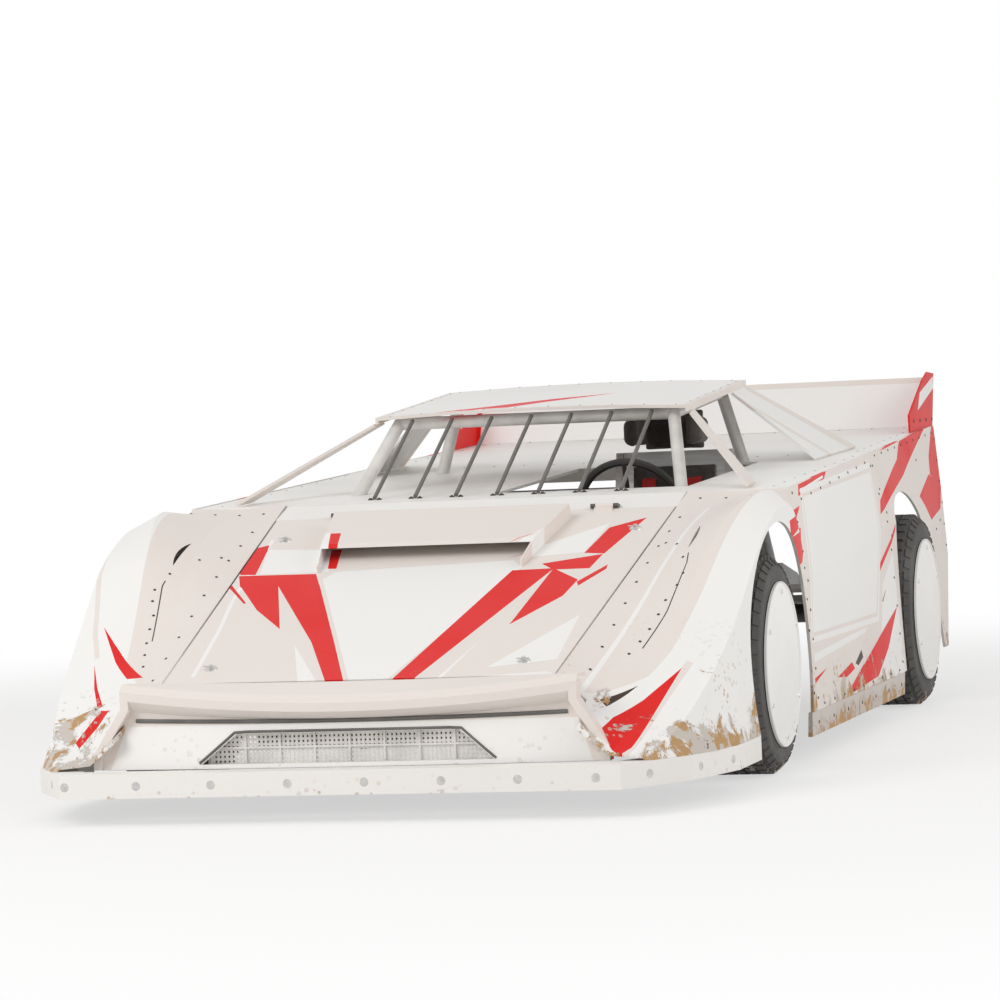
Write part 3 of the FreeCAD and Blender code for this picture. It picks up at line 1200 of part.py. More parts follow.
for turn in SPOKE_TURNS:
    middle = wheel_centre + column * (HUB[1] / 2)
    spoke = rod(middle, middle + level * size("ring_radius"), SPOKE_RADIUS)
    spoke.rotate(wheel_centre, column, turn)
    steering.append(spoke)
keep("steering_wheel", shaped("SteeringWheel", join(steering)))

# The dash stands at the cage's dash bar, with a hole for the column
DASH_X = (60, 560)
DASH_Z = (610, 835)
DASH_WALL = 8
COLUMN_ROOM = 6
dash_y = "front_axle_y + %g + cage_tube + running_gap" % LEG_WAIST_Y
dash_board = block("DashBoard", ("%g" % (DASH_X[1] - DASH_X[0]), "%g" % DASH_WALL,
                                 "%g" % (DASH_Z[1] - DASH_Z[0])),
                   ("%g" % DASH_X[0], dash_y, "%g" % DASH_Z[0]))
column_room = shaped("ColumnRoom", rod(wheel_centre, column_foot, size("column_radius") + COLUMN_ROOM))
keep("dash", cut_by("DashWithHole", dash_board, column_room))

# Engine with its gearbox, radiator and fuel cell
engine_block = block("EngineBlock", ("engine_width", "engine_length", "engine_height"),
                     ("-engine_width / 2", "front_axle_y + engine_front_y", "engine_z"))
ENGINE_END = "(front_axle_y + engine_front_y + engine_length)"
bell = doc.addObject("Part::Cone", "BellHousing")
bell.Placement = FreeCAD.Placement(ORIGIN, FreeCAD.Rotation(ALONG_Z, ALONG_Y))
tie(bell, {"Radius1": "bell_radius", "Radius2": "gearbox_radius", "Height": "bell_length"})
tie(bell, base_at(("0", ENGINE_END, "shaft_z")))
gearbox = drum("Gearbox", "gearbox_radius", "gearbox_length",
               ("0", ENGINE_END + " + bell_length", "shaft_z"), ALONG_Y)
keep("engine", fused("EngineWhole", [engine_block, bell, gearbox]))
keep("radiator", block("RadiatorCore", ("radiator_width", "radiator_depth", "radiator_height"),
                       ("-radiator_width / 2", "front_axle_y + radiator_y", "radiator_z")))
keep("fuel_cell", block("FuelCell", ("cell_width", "cell_length", "cell_height"),
                        ("-cell_width / 2", REAR_AT + " + cell_from_axle", "cell_z")))

# The rear axle with its centre, and the shaft that drives it
AXLE_OVERLAP = 40
axle_half = "(wheel_face_rear - tyre_width_rear + %g)" % AXLE_OVERLAP
spindle_half = "(wheel_face_rear - disc_depth + 20)"
axle_pieces = []
for name, radius, half in (("AxleTube", "axle_tube", axle_half), ("AxleCase", "axle_case", "axle_case_half"),
                           ("AxleSpindle", "spindle_radius", spindle_half)):
    axle_pieces.append(drum(name, radius, "2 * " + half, ("-" + half, REAR_AT, "tyre_radius_rear")))
axle_pieces.append(drum("AxleNose", "axle_nose_radius", "axle_nose",
                        ("0", REAR_AT + " - axle_nose", "tyre_radius_rear"), ALONG_Y))
keep("rear_axle", fused("RearAxleWhole", axle_pieces))
SHAFT_END_GAP = 1.2
wheel_z_rear = size("tyre_radius_rear")
gearbox_end = size("engine_front_y") + size("engine_length") + size("bell_length") + size("gearbox_length")
shaft_start = place(0, gearbox_end + SHAFT_END_GAP, size("shaft_z"))
shaft_end = place(0, REAR - size("axle_nose") - SHAFT_END_GAP, wheel_z_rear)
keep("drive_shaft", shaped("DriveShaft", rod(shaft_start, shaft_end, size("shaft_radius"))))

# The knuckles: a post on the steering axis, a spindle and a steering arm
post = block("KnucklePost", ("knuckle_wide", "knuckle_deep", "knuckle_height"),
             ("kingpin_x - knuckle_wide / 2", "front_axle_y - knuckle_deep / 2",
              "tyre_radius_front - knuckle_height / 2"))
spindle = drum("KnuckleSpindle", "spindle_radius", "wheel_face_front - disc_depth + 20 - kingpin_x",
               ("kingpin_x", "front_axle_y", "tyre_radius_front"))
STEER_ARM = (24, 130, 30)
STEER_ARM_LAP = 10
STEER_ARM_LIFT = 15
steer_arm = block("SteerArm", tuple("%g" % extent for extent in STEER_ARM),
                  ("kingpin_x - knuckle_wide / 2",
                   "front_axle_y - knuckle_deep / 2 - %g" % (STEER_ARM[1] - STEER_ARM_LAP),
                   "tyre_radius_front - knuckle_height / 2 + %g" % STEER_ARM_LIFT))
knuckle = fused("KnuckleWhole", [post, spindle, steer_arm])
keep("knuckle_left", knuckle)
keep("knuckle_right", other_side(knuckle, "KnuckleRight"))

# Arms that carry the knuckles in front, and links that hold the rear axle
kingpin = size("kingpin_x")
lower_z = wheel_z - knuckle_half - LOWER_BALL / 2 - GAP
arm_rod = size("arm_rod")
SPREAD = 150
lower_ball = place(kingpin, 0, lower_z)
upper_ball = place(kingpin, 0, upper_z)
ARM_SLACK = 7
BALL_RADII = (24, 22)
UPPER_SPREAD = 0.8
arm_start_x = clip + wide / 2 + ARM_SLACK + GAP
arms = [Part.makeCylinder(BALL_RADII[0], LOWER_BALL, lower_ball - Vector(0, 0, LOWER_BALL / 2), ALONG_Z),
        Part.makeCylinder(BALL_RADII[1], UPPER_BALL, upper_ball - Vector(0, 0, UPPER_BALL / 2), ALONG_Z),
        rod(place(PIVOT_X, -PIVOT_HALF, pivot_z), place(PIVOT_X, PIVOT_HALF, pivot_z), UPPER_ROD)]
for side in (-SPREAD, SPREAD):
    arms.append(rod(place(arm_start_x, side, clip_z), lower_ball, arm_rod))
    arms.append(rod(place(PIVOT_X, side * UPPER_SPREAD, pivot_z), upper_ball, UPPER_ROD))
DAMPER_SHARE = 0.47
pin_z = blend(DAMPER_SHARE, clip_z, lower_z)
pin_x = blend(DAMPER_SHARE, arm_start_x, kingpin)
pin_half_y = SPREAD * (1 - DAMPER_SHARE)
DAMPER_PIN = 12
arms.append(rod(place(pin_x, -pin_half_y, pin_z), place(pin_x, pin_half_y, pin_z), DAMPER_PIN))
upper_arm = [arms[1], arms[2], arms[4], arms[6]]
lower_arm = [arms[0], arms[3], arms[5], arms[7]]
LINK_X = 540
LINK_RADIUS = 14
CLAMP = (58, 40)
clamp_spot = place(LINK_X - CLAMP[1] / 2, REAR, wheel_z_rear)
LINK_SLACK = 4
LINK_LIFT = 8
LINK_LAP = 6
LINK_DROP = 20
link_front = place(LINK_X, HOOP + wide / 2 + GAP + LINK_SLACK, rail_z + LINK_LIFT)
link_rear = place(LINK_X, REAR - CLAMP[0] + LINK_LAP, wheel_z_rear - LINK_DROP)
link = join([Part.makeCylinder(CLAMP[0], CLAMP[1], clamp_spot, ALONG_X),
             rod(link_front, link_rear, LINK_RADIUS)])
link = link.cut(Part.makeCylinder(size("axle_tube") + GAP, CLAMP[1], clamp_spot, ALONG_X))
keep("suspension_arms", shaped("SuspensionArms", both([join(lower_arm), join(upper_arm), link])))

# The dampers with their springs
damper_pin = place(pin_x, 0, pin_z)
damper_stay = on_line(clip_top, leg_waist, share_of(0, CLIP_TOP[1], LEG_WAIST_Y))
REAR_DAMPER_X = 380
rear_seat = place(REAR_DAMPER_X, REAR, wheel_z_rear)
rear_stay = place(REAR_DAMPER_X, REAR + DAMPER_BAR_Y, damper_bar.z)
BODY_SHARES = (0.2, 0.85)
dampers = []
for low, low_clear, top, line in ((damper_pin, DAMPER_PIN, damper_stay, (leg_waist, clip_top)),
                                  (rear_seat, size("axle_tube"), rear_stay, (damper_bar, flip(damper_bar)))):
    way = (top - low).normalize()
    foot = low + way * (low_clear + GAP)
    head = top - way * TUBE
    spring = rod(on_line(foot, head, BODY_SHARES[0]), on_line(foot, head, BODY_SHARES[1]),
                 size("damper_body"))
    dampers.append(join([coped(rod(foot, top, size("damper_rod")), [line]), spring]))
keep("dampers", shaped("Dampers", both(dampers)))

# The exhaust: a flange on each side of the engine, and a pipe that ends under the door
PIPE_RADIUS = 42
PIPE_START = (330, 470)
PIPE_BENDS = ((350, 330, 470), (430, 470, 370), (640, 620, 290), (760, 760, 225), (760, 1180, 215))
FLANGE_SPOT = (180, 440)
FLANGE_EXTENT = (12, 280, 60)
HANGER_SPOT = (1000, 170)
HANGER_EXTENT = (100, 30, 16)
pipe_path = [place(engine_side, *PIPE_START)] + [place(*bend) for bend in PIPE_BENDS]
flange = Part.makeBox(*FLANGE_EXTENT, place(engine_side, *FLANGE_SPOT))
hanger = Part.makeBox(*HANGER_EXTENT, place(rail + wide / 2 + GAP, *HANGER_SPOT))
pipes = bent_tube(pipe_path, PIPE_RADIUS, 0)
keep("exhaust", shaped("ExhaustPair", both([join(pipes + [flange, hanger])])))

# The bar behind the nose's opening
NOSE_BAR = 16
NOSE_BAR_HALF = 285
NOSE_BAR_FRONT = -1085
bar_foot = place(NOSE_BAR_HALF, RAIL_FRONT - wide / 2 - GAP, clip_z)
bar_path = [bar_foot, place(NOSE_BAR_HALF, NOSE_BAR_FRONT, clip_z)]
nose_bar = join(bent_tube(bar_path + [flip(point) for point in bar_path[::-1]], NOSE_BAR, 0))
keep("nose_bar", shaped("NoseBar", nose_bar))

# Three pedals on the floor, and the shift lever on the tunnel
PEDAL_X = (-75, 5, 85)
PEDAL_PAD = (58, 10, 84)
PEDAL_ARM = (12, 10, 170)
PEDAL_Y = 60
pedals = []
for i, x in enumerate(PEDAL_X):
    arm = block("PedalArm%d" % i, tuple("%g" % extent for extent in PEDAL_ARM),
                ("driver_x + (%g)" % (x - PEDAL_ARM[0] / 2), FIREWALL_AT + " + %g" % PEDAL_Y,
                 FLOOR_TOP + " + running_gap"))
    pad = block("PedalPad%d" % i, tuple("%g" % extent for extent in PEDAL_PAD),
                ("driver_x + (%g)" % (x - PEDAL_PAD[0] / 2),
                 FIREWALL_AT + " + %g" % (PEDAL_Y + PEDAL_ARM[1] / 2),
                 FLOOR_TOP + " + %g" % (PEDAL_ARM[2] - PEDAL_PAD[2] / 2)))
    pedals.append(fused("Pedal%d" % i, [arm, pad]))
keep("pedals", group("PedalSet", pedals))
SHIFTER_FROM_WALL = 520
SHIFT_GATE = (90, 130, 18)
LEVER = (7, 190)
LEVER_LIFT = 10
KNOB = (19, 40)
lever_spot = ("tunnel_half / 2", FIREWALL_AT + " + %g" % SHIFTER_FROM_WALL)
gate = block("ShiftGate", tuple("%g" % extent for extent in SHIFT_GATE),
             (lever_spot[0] + " - %g" % (SHIFT_GATE[0] / 2), lever_spot[1] + " - %g" % (SHIFT_GATE[1] / 2),
              "tunnel_z + running_gap"))
lever = drum("ShiftLever", "%g" % LEVER[0], "%g" % LEVER[1],
             (*lever_spot, "tunnel_z + %g" % LEVER_LIFT), ALONG_Z)
knob = drum("ShiftKnob", "%g" % KNOB[0], "%g" % KNOB[1], (*lever_spot, "tunnel_z + %g" % LEVER[1]), ALONG_Z)
keep("shifter", fused("ShifterWhole", [gate, lever, knob]))

# The wheels: tyre, wheel with its hub and rotor, and mud cover, about the axle's line
TYRE_SIDES = 64
SIDE_STRETCH = 1 / math.cos(math.pi / TYRE_SIDES)
FLAT_DOWN = FreeCAD.Rotation(ALONG_Z, ALONG_X) * FreeCAD.Rotation(ALONG_Z, 180 / TYRE_SIDES)


def many_sided(kind, name, radius, spot):
    """A regular outline or bar across the car, one side level below, as far from its middle as the radius."""
    item = doc.addObject(kind, name)
    item.Polygon = TYRE_SIDES
    item.Placement = FreeCAD.Placement(ORIGIN, FLAT_DOWN)
    tie(item, {"Circumradius": "%.8f * (%s)" % (SIDE_STRETCH, radius)})
    return tie(item, base_at(spot))


for end, axle_y in (("front", "front_axle_y"), ("rear", REAR_AT)):
    title = end.title()
    middle = "tyre_radius_" + end
    spot = ("0", axle_y, middle)
    face = "wheel_face_" + end
    inner = "(wheel_face_%s - tyre_width_%s)" % (end, end)
    rings = []
    for i, (x, radius) in enumerate(((inner, middle + " - tyre_shoulder"),
                                     (inner + " + tyre_shoulder", middle),
                                     (face + " - tyre_shoulder", middle),
                                     (face, middle + " - tyre_shoulder"))):
        rings.append(many_sided("Part::RegularPolygon", "TyreRing%s%d" % (title, i), radius,
                                (x, axle_y, middle)))
    carcass = doc.addObject("Part::Loft", "TyreCarcass" + title)
    carcass.Sections = rings
    carcass.Solid = True
    carcass.Ruled = True
    bore = many_sided("Part::Prism", "TyreBore" + title, "rim_radius + running_gap", (inner, axle_y, middle))
    tie(bore, {"Height": "tyre_width_" + end})
    disc = face + " - disc_depth"
    barrel = "rim_radius - rim_wall"
    shaft = "spindle_radius + running_gap"
    rotor = inner + " + rotor_inset"
    wheel = [(inner + " + 2", barrel), (disc, barrel), (disc, "hub_radius"),
             (rotor + " + rotor_thick", "hub_radius"),
             (rotor + " + rotor_thick", "rotor_radius"), (rotor, "rotor_radius"), (rotor, "hub_radius"),
             (inner + " + hub_inset", "hub_radius"), (inner + " + hub_inset", shaft),
             (disc + " + disc_wall", shaft), (disc + " + disc_wall", barrel), (face + " - 1", barrel),
             (face + " - 1", "rim_radius"), (inner + " + 2", "rim_radius")]
    back = face + " + running_gap"
    cover = [(back, "0"), (back, "cover_radius"), (face + " + cover_edge", "cover_radius"),
             (face + " + cover_dish * 0.8", "cover_radius * 0.45"), (face + " + cover_dish", "0")]
    for label, piece in (("tyre", cut_by("Tyre" + title, carcass, bore)),
                         ("wheel", turned("Wheel" + title, wheel, spot)),
                         ("mud_cover", turned("MudCover" + title, cover, spot))):
        keep("%s_%s_left" % (label, end), piece)
        keep("%s_%s_right" % (label, end), other_side(piece, piece.Name + "Right"))

doc.recompute()
for item in doc.Objects:
    if "Invalid" in item.State or "Error" in item.State:
        raise RuntimeError("%s did not recompute: %s" % (item.Label, item.State))
for piece in nodes:
    if piece.Shape.isNull() or not piece.Shape.isValid():
        raise RuntimeError("%s has no valid shape" % piece.Label)

os.makedirs("parts", exist_ok=True)
for piece in nodes:
    piece.Shape.exportStep("parts/%s.step" % piece.Label)
whole = Part.makeCompound([piece.Shape for piece in nodes])
print(len(nodes), "nodes", whole.BoundBox)
for piece in nodes:
    print("%-20s %d solids %9.1f cm3" % (piece.Label, len(piece.Shape.Solids), piece.Shape.Volume / 1000))
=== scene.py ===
# %% [markdown]
# # Dressing a dirt-track stock car
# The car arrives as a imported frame: every sheet panel, tube and wheel is already a solid at its real size
# and place, in metres, with +X to the driver's left, +Y to the tail and +Z up. This lesson adds what the
# solids lack, such as tread, rivets, springs, padding, paint and dried mud, and sets up the picture.

# %% Load the frame
import bpy
import bmesh
import math
from mathutils import Matrix, Vector
from mathutils.bvhtree import BVHTree


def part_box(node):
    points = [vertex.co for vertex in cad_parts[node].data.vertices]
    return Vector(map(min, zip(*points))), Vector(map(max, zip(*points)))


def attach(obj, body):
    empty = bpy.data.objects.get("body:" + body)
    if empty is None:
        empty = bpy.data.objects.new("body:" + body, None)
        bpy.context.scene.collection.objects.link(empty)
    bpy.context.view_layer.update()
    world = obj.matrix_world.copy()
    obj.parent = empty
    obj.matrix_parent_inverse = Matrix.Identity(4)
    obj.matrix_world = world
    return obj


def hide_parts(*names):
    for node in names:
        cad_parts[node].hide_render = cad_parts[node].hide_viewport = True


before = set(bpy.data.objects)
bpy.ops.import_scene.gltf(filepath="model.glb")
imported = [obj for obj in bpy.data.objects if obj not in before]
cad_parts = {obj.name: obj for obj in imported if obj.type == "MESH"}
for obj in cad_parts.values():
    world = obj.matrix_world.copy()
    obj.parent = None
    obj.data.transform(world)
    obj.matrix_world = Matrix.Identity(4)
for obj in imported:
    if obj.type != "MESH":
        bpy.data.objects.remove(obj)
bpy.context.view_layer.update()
scene = bpy.context.scene
AXLE_Y = -1.31
REAR_Y = AXLE_Y + 2.64
FRONT_RADIUS, REAR_RADIUS = 0.350, 0.360
SIDES = (("left", 1), ("right", -1))


def placed(name, data):
    """A new object in the scene for a mesh, a lamp or a camera."""
    thing = bpy.data.objects.new(name, data)
    scene.collection.objects.link(thing)
    return thing


# %% [markdown]
# ## The view
# The picture looks at the car's nose from its left front corner, from far off and just above the hood, so
# the lens is long and the car looks compact. A tilted camera leans the ground a little, as if the car were
# thrown into a turn. A camera is an object with its own axes: it looks along its -Z, with +Y up in the
# picture, so three crossed directions give its matrix directly.

# %% Camera
VIEW_FROM = Vector((3.941, AXLE_Y - 13.477, 1.295))
VIEW_TURN = math.radians(15.56)
VIEW_DOWN = math.radians(1.59)
VIEW_ROLL = math.radians(-2.56)
LENS = 155.34

forward = Vector((-math.sin(VIEW_TURN) * math.cos(VIEW_DOWN), math.cos(VIEW_TURN) * math.cos(VIEW_DOWN),
                  -math.sin(VIEW_DOWN)))
level = forward.cross(Vector((0, 0, 1))).normalized()
upright = level.cross(forward)
right = level * math.cos(VIEW_ROLL) + upright * math.sin(VIEW_ROLL)
up = upright * math.cos(VIEW_ROLL) - level * math.sin(VIEW_ROLL)
lens = bpy.data.cameras.new("view")
lens.sensor_width = 36
lens.lens = LENS
lens.clip_end = 200
scene.camera = placed("view", lens)
turned = Matrix((right, up, -forward)).transposed().to_4x4()
scene.camera.matrix_world = Matrix.Translation(VIEW_FROM) @ turned
scene.view_settings.view_transform = "Standard"
print("camera looks along", tuple(round(c, 3) for c in forward))

# %% [markdown]
# ## Nodes in one line
# A shader is a tree of nodes. Two small functions cut the wiring to a line a node: one feeds a node's inputs,
# given by name or by place, and the other adds a node and gives back the output that the next one needs.

# %% Node helpers
def feed(tree, node, values):
    """Set a node's inputs to numbers, to colours or to what other sockets carry."""
    for key, value in values.items():
        socket = node.inputs[key]
        if isinstance(value, bpy.types.NodeSocket):
            tree.links.new(value, socket)
        elif socket.type == "RGBA":
            socket.default_value = (*value, 1)
        else:
            socket.default_value = value


def add(tree, kind, values=(), output=0, **settings):
    """Add a node, set it up and give one of its outputs."""
    node = tree.nodes.new("ShaderNode" + kind)
    for key, value in settings.items():
        setattr(node, key, value)
    feed(tree, node, values if isinstance(values, dict) else dict(enumerate(values)))
    return node.outputs[output]


print("node helpers ready")

# %% [markdown]
# ## Floor and light
# A studio keeps a race car readable: a plain pale floor, a soft world from all sides, one large lamp over
# the nose and a weaker one by the door. The floor and the world show as near white to the camera through
# the Light Path node, so the backdrop is pale without any extra light on the paint. Further out the floor
# fades into the white of the world, and no horizon shows.

# %% Floor, world and lamps
SKY, SKY_STRENGTH = (1.0, 0.99, 0.975), 0.55
FLOOR, FLOOR_ROUGHNESS, FLOOR_SIZE = (0.93, 0.92, 0.91), 0.9, 40
FADE_FROM, FADE_TO, LEAST_FADE = 3.0, 7.5, 0.6


def white_to_camera(tree, plain, shown):
    """A shader that is one thing in the picture and in reflections, and another for the light it throws."""
    rays = add(tree, "LightPath").node.outputs
    seen = add(tree, "Math", (rays["Is Camera Ray"], rays["Is Glossy Ray"]), operation="MAXIMUM")
    return add(tree, "MixShader", (seen, plain, shown))


world = bpy.data.worlds.new("studio")
world.use_nodes = True
scene.world = world
sky = world.node_tree
soft = sky.nodes["Background"]
feed(sky, soft, {"Color": SKY, "Strength": SKY_STRENGTH})
backdrop = add(sky, "Background", {"Color": (1, 1, 1), "Strength": 1.0})
feed(sky, sky.nodes["World Output"], {0: white_to_camera(sky, soft.outputs[0], backdrop)})

bm = bmesh.new()
bmesh.ops.create_grid(bm, x_segments=1, y_segments=1, size=FLOOR_SIZE)
floor = placed("floor", bpy.data.meshes.new("floor"))
bm.to_mesh(floor.data)
bm.free()
floor_look = bpy.data.materials.new("pale_floor")
floor_look.use_nodes = True
ground = floor_look.node_tree
matte = ground.nodes["Principled BSDF"]
feed(ground, matte, {"Base Color": FLOOR, "Roughness": FLOOR_ROUGHNESS})
away = add(ground, "VectorMath", [add(ground, "TexCoord", output="Object")], "Value", operation="LENGTH")
fade = add(ground, "MapRange", (away, FADE_FROM, FADE_TO, LEAST_FADE, 1.0), interpolation_type="SMOOTHSTEP")
lifted = add(ground, "MixShader", (fade, matte.outputs[0], add(ground, "Emission")))
feed(ground, ground.nodes["Material Output"], {0: white_to_camera(ground, matte.outputs[0], lifted)})
floor.data.materials.append(floor_look)


def lamp(name, spot, aim, size, watts):
    """A square soft lamp at a spot, turned to face a point."""
    light = bpy.data.lights.new(name, "AREA")
    light.size = size
    light.energy = watts
    thing = placed(name, light)
    thing.location = spot
    thing.rotation_euler = (Vector(aim) - Vector(spot)).to_track_quat("-Z", "Y").to_euler()


lamp("over_nose", (-3.5, -7.0, 5.5), aim=(0, -0.8, 0.4), size=4.0, watts=230)
lamp("by_door", (7.0, -2.5, 4.0), aim=(0.5, 0.3, 0.5), size=4.0, watts=110)
print("two lamps and a soft world")

# %% [markdown]
# ## A small kit for painted surfaces
# Every finish here is a node material that reads Object coordinates, which are the car's own metres because
# each piece's object sits at the origin. A short class keeps the node wiring readable: each method adds one
# idea, such as a noise, a threshold, a polygon or a mix, and returns the socket that carries it.

# %% The finish builder
BUMP_STRENGTH = 0.6
SHEET_SHINE = 0.1


class Finish:
    """One procedural material, built step by step on the car's own coordinates."""

    def __init__(self, name, metallic=0.0, specular=0.5):
        self.material = bpy.data.materials.new(name)
        self.material.use_nodes = True
        self.tree = self.material.node_tree
        self.shader = self.tree.nodes["Principled BSDF"]
        feed(self.tree, self.shader, {"Metallic": metallic, "Specular IOR Level": specular})
        self.place = self.add("TexCoord", output="Object")
        self.x, self.y, self.z = self.split(self.place)

    def add(self, kind, values=(), output=0, **settings):
        return add(self.tree, kind, values, output, **settings)

    def split(self, vector):
        return self.add("SeparateXYZ", [vector]).node.outputs

    def math(self, operation, *values):
        return self.add("Math", values, operation=operation)

    def times(self, first, second):
        return self.math("MULTIPLY", first, second)

    def scaled(self, value, gain, base):
        """A value times a gain, on top of a base."""
        return self.math("MULTIPLY_ADD", value, gain, base)

    def shown_side(self, sides=True):
        """1 on faces that look up, or away from the car's middle, and 0 on the back of a sheet."""
        facing = self.split(self.add("TexCoord", output="Normal"))
        out = facing[2]
        if sides:
            out = self.scaled(facing[0], self.math("SIGN", self.x), out)
        return self.math("GREATER_THAN", out, -0.5)

    def noise(self, scale, detail=3.0, rough=0.55, stretch=None, warp=0.0):
        """Cloudy noise from 0 to 1, finer with a larger scale."""
        where = self.add("Mapping", {"Scale": stretch, "Vector": self.place}) if stretch else self.place
        return self.add("TexNoise", {"Scale": scale, "Detail": detail, "Roughness": rough, "Distortion": warp,
                                     "Vector": where}, "Fac")

    def cells(self, scale):
        """Distance to the middle of the nearest scattered cell."""
        return self.add("TexVoronoi", {"Scale": scale, "Vector": self.place}, "Distance")

    def comb(self, value, per_metre):
        """A zigzag from 0 to 1 and back, so many teeth to two metres of a value."""
        return self.math("PINGPONG", self.times(value, per_metre), 1.0)

    def ramp(self, value, low, high):
        """0 below one end, 1 past the other and a soft rise between; the ends may come in either order."""
        return self.add("MapRange", (value, low, high), interpolation_type="SMOOTHSTEP")

    def mix(self, share, first, second):
        """A colour between two, by a share from 0 to 1."""
        return self.add("Mix", {0: share, 6: first, 7: second}, 2, data_type="RGBA")

    def edge(self, u, v, start, end):
        """How far to the left of a line a point lies, in metres."""
        along = (end[0] - start[0], end[1] - start[1])
        length = math.hypot(*along)
        across = (-along[1] / length, along[0] / length)
        offset = -(across[0] * start[0] + across[1] * start[1])
        return self.scaled(v, across[1], self.scaled(u, across[0], offset))

    def patch(self, u, v, corners):
        """1 inside a convex outline in two coordinates, 0 outside."""
        if sum(a[0] * b[1] - a[1] * b[0] for a, b in zip(corners, corners[1:] + corners[:1])) < 0:
            corners = corners[::-1]
        least = None
        for start, end in zip(corners, corners[1:] + corners[:1]):
            side = self.edge(u, v, start, end)
            least = side if least is None else self.math("MINIMUM", least, side)
        return self.math("GREATER_THAN", least, 0.0)

    def bump(self, height, depth):
        normal = self.add("Bump", {"Strength": BUMP_STRENGTH, "Distance": depth, "Height": height})
        feed(self.tree, self.shader, {"Normal": normal})

    def done(self, colour, roughness):
        feed(self.tree, self.shader, {"Base Color": colour, "Roughness": roughness})
        return self.material


def ink(*levels):
    """A colour given as it looks on a screen, from 0 to 255, turned into light values from 0 to 1."""
    shares = (level / 255 for level in levels)
    return tuple(c / 12.92 if c <= 0.04045 else ((c + 0.055) / 1.055) ** 2.4 for c in shares)


WHITE = ink(250, 249, 247)
CREAM = ink(240, 232, 226)
RED = ink(232, 39, 37)
# Dark brown of the dark clay and of small patches on the sides; on the fenders it is painted shade along the
# crease.
DARK = ink(72, 58, 51)
CLAY = ink(198, 160, 116)
PALE_MUD = ink(213, 205, 197)
SHEET_BACK = ink(216, 213, 208)
print("finish builder ready")

# %% [markdown]
# ## Dried clay
# Mud on a race car dries into a thick crust near the ground, breaks up higher on the panel and ends in single
# drops. One noise decides where the crust is, and the height above the ground shifts its threshold. The
# same mask drives colour, roughness and bump, so the crust is dull and raised where the paint is glossy.

# %% Mud over any finish
CRUST_EDGE = (0.80, 0.83)
CRUST_LIFT = 0.44
CLAY_ROUGHNESS = 0.9
DUST_ROUGHNESS = 0.18


def soil(look, colour, top, reach, amount):
    """Lay clay over a colour below a height; gives the new colour and where the clay is."""
    low = look.ramp(look.z, top, top - reach)
    cloud = look.noise(6.0, 9.0, 0.74, warp=0.5)
    crust = look.ramp(look.scaled(low, CRUST_LIFT * amount, cloud), *CRUST_EDGE)
    spray = look.ramp(look.noise(4.0, 2.0), 0.5, 0.62)
    drops = look.times(look.ramp(look.cells(38.0), 0.30, 0.25), look.times(spray, low))
    cover = look.math("MAXIMUM", crust, drops)
    tone = look.noise(15.0, 5.0, 0.65)
    clay = look.mix(look.ramp(tone, 0.47, 0.50), CLAY, PALE_MUD)
    clay = look.mix(look.ramp(tone, 0.66, 0.68), clay, DARK)
    return look.mix(cover, colour, clay), cover


def dressed(look, colour, top=0.0, reach=0.0, amount=0.0, gloss=0.42, film=0.025):
    """Finish a paint: a thin film of dust, the clay below a height if there is one, and the bump of both."""
    dust = look.ramp(look.noise(2.3, 6.0, 0.6), 0.4, 0.8)
    colour = look.mix(look.times(dust, film), colour, PALE_MUD)
    grain = look.noise(260.0, 2.0)
    rough = look.scaled(dust, DUST_ROUGHNESS, gloss)
    if top:
        colour, cover = soil(look, colour, top, reach, amount)
        height = look.scaled(cover, look.noise(70.0, 4.0), look.times(grain, 0.04))
        rough = look.scaled(cover, CLAY_ROUGHNESS - gloss, rough)
    else:
        height = look.times(grain, 0.05)
    look.bump(height, 0.004)
    return look.done(colour, rough)


def layered(look, u, v, colour, layers):
    """Lay flat patches of colour over a base, in order. Their corners are in millimetres."""
    for shade, outlines in layers:
        cover = None
        for outline in outlines:
            inside = look.patch(u, v, [(a / 1000, b / 1000) for a, b in outline])
            cover = inside if cover is None else look.math("MAXIMUM", cover, inside)
        colour = look.mix(cover, colour, shade)
    return colour


def band(points, width):
    """Thin outlines along a line, one for each of its straight runs."""
    outlines = []
    for (a, b), (c, d) in zip(points, points[1:]):
        run = math.hypot(c - a, d - b)
        side = ((b - d) / run * width / 2, (c - a) / run * width / 2)
        outlines.append([(a + side[0], b + side[1]), (c + side[0], d + side[1]),
                         (c - side[0], d - side[1]), (a - side[0], b - side[1])])
    return outlines


print("clay and patches ready")
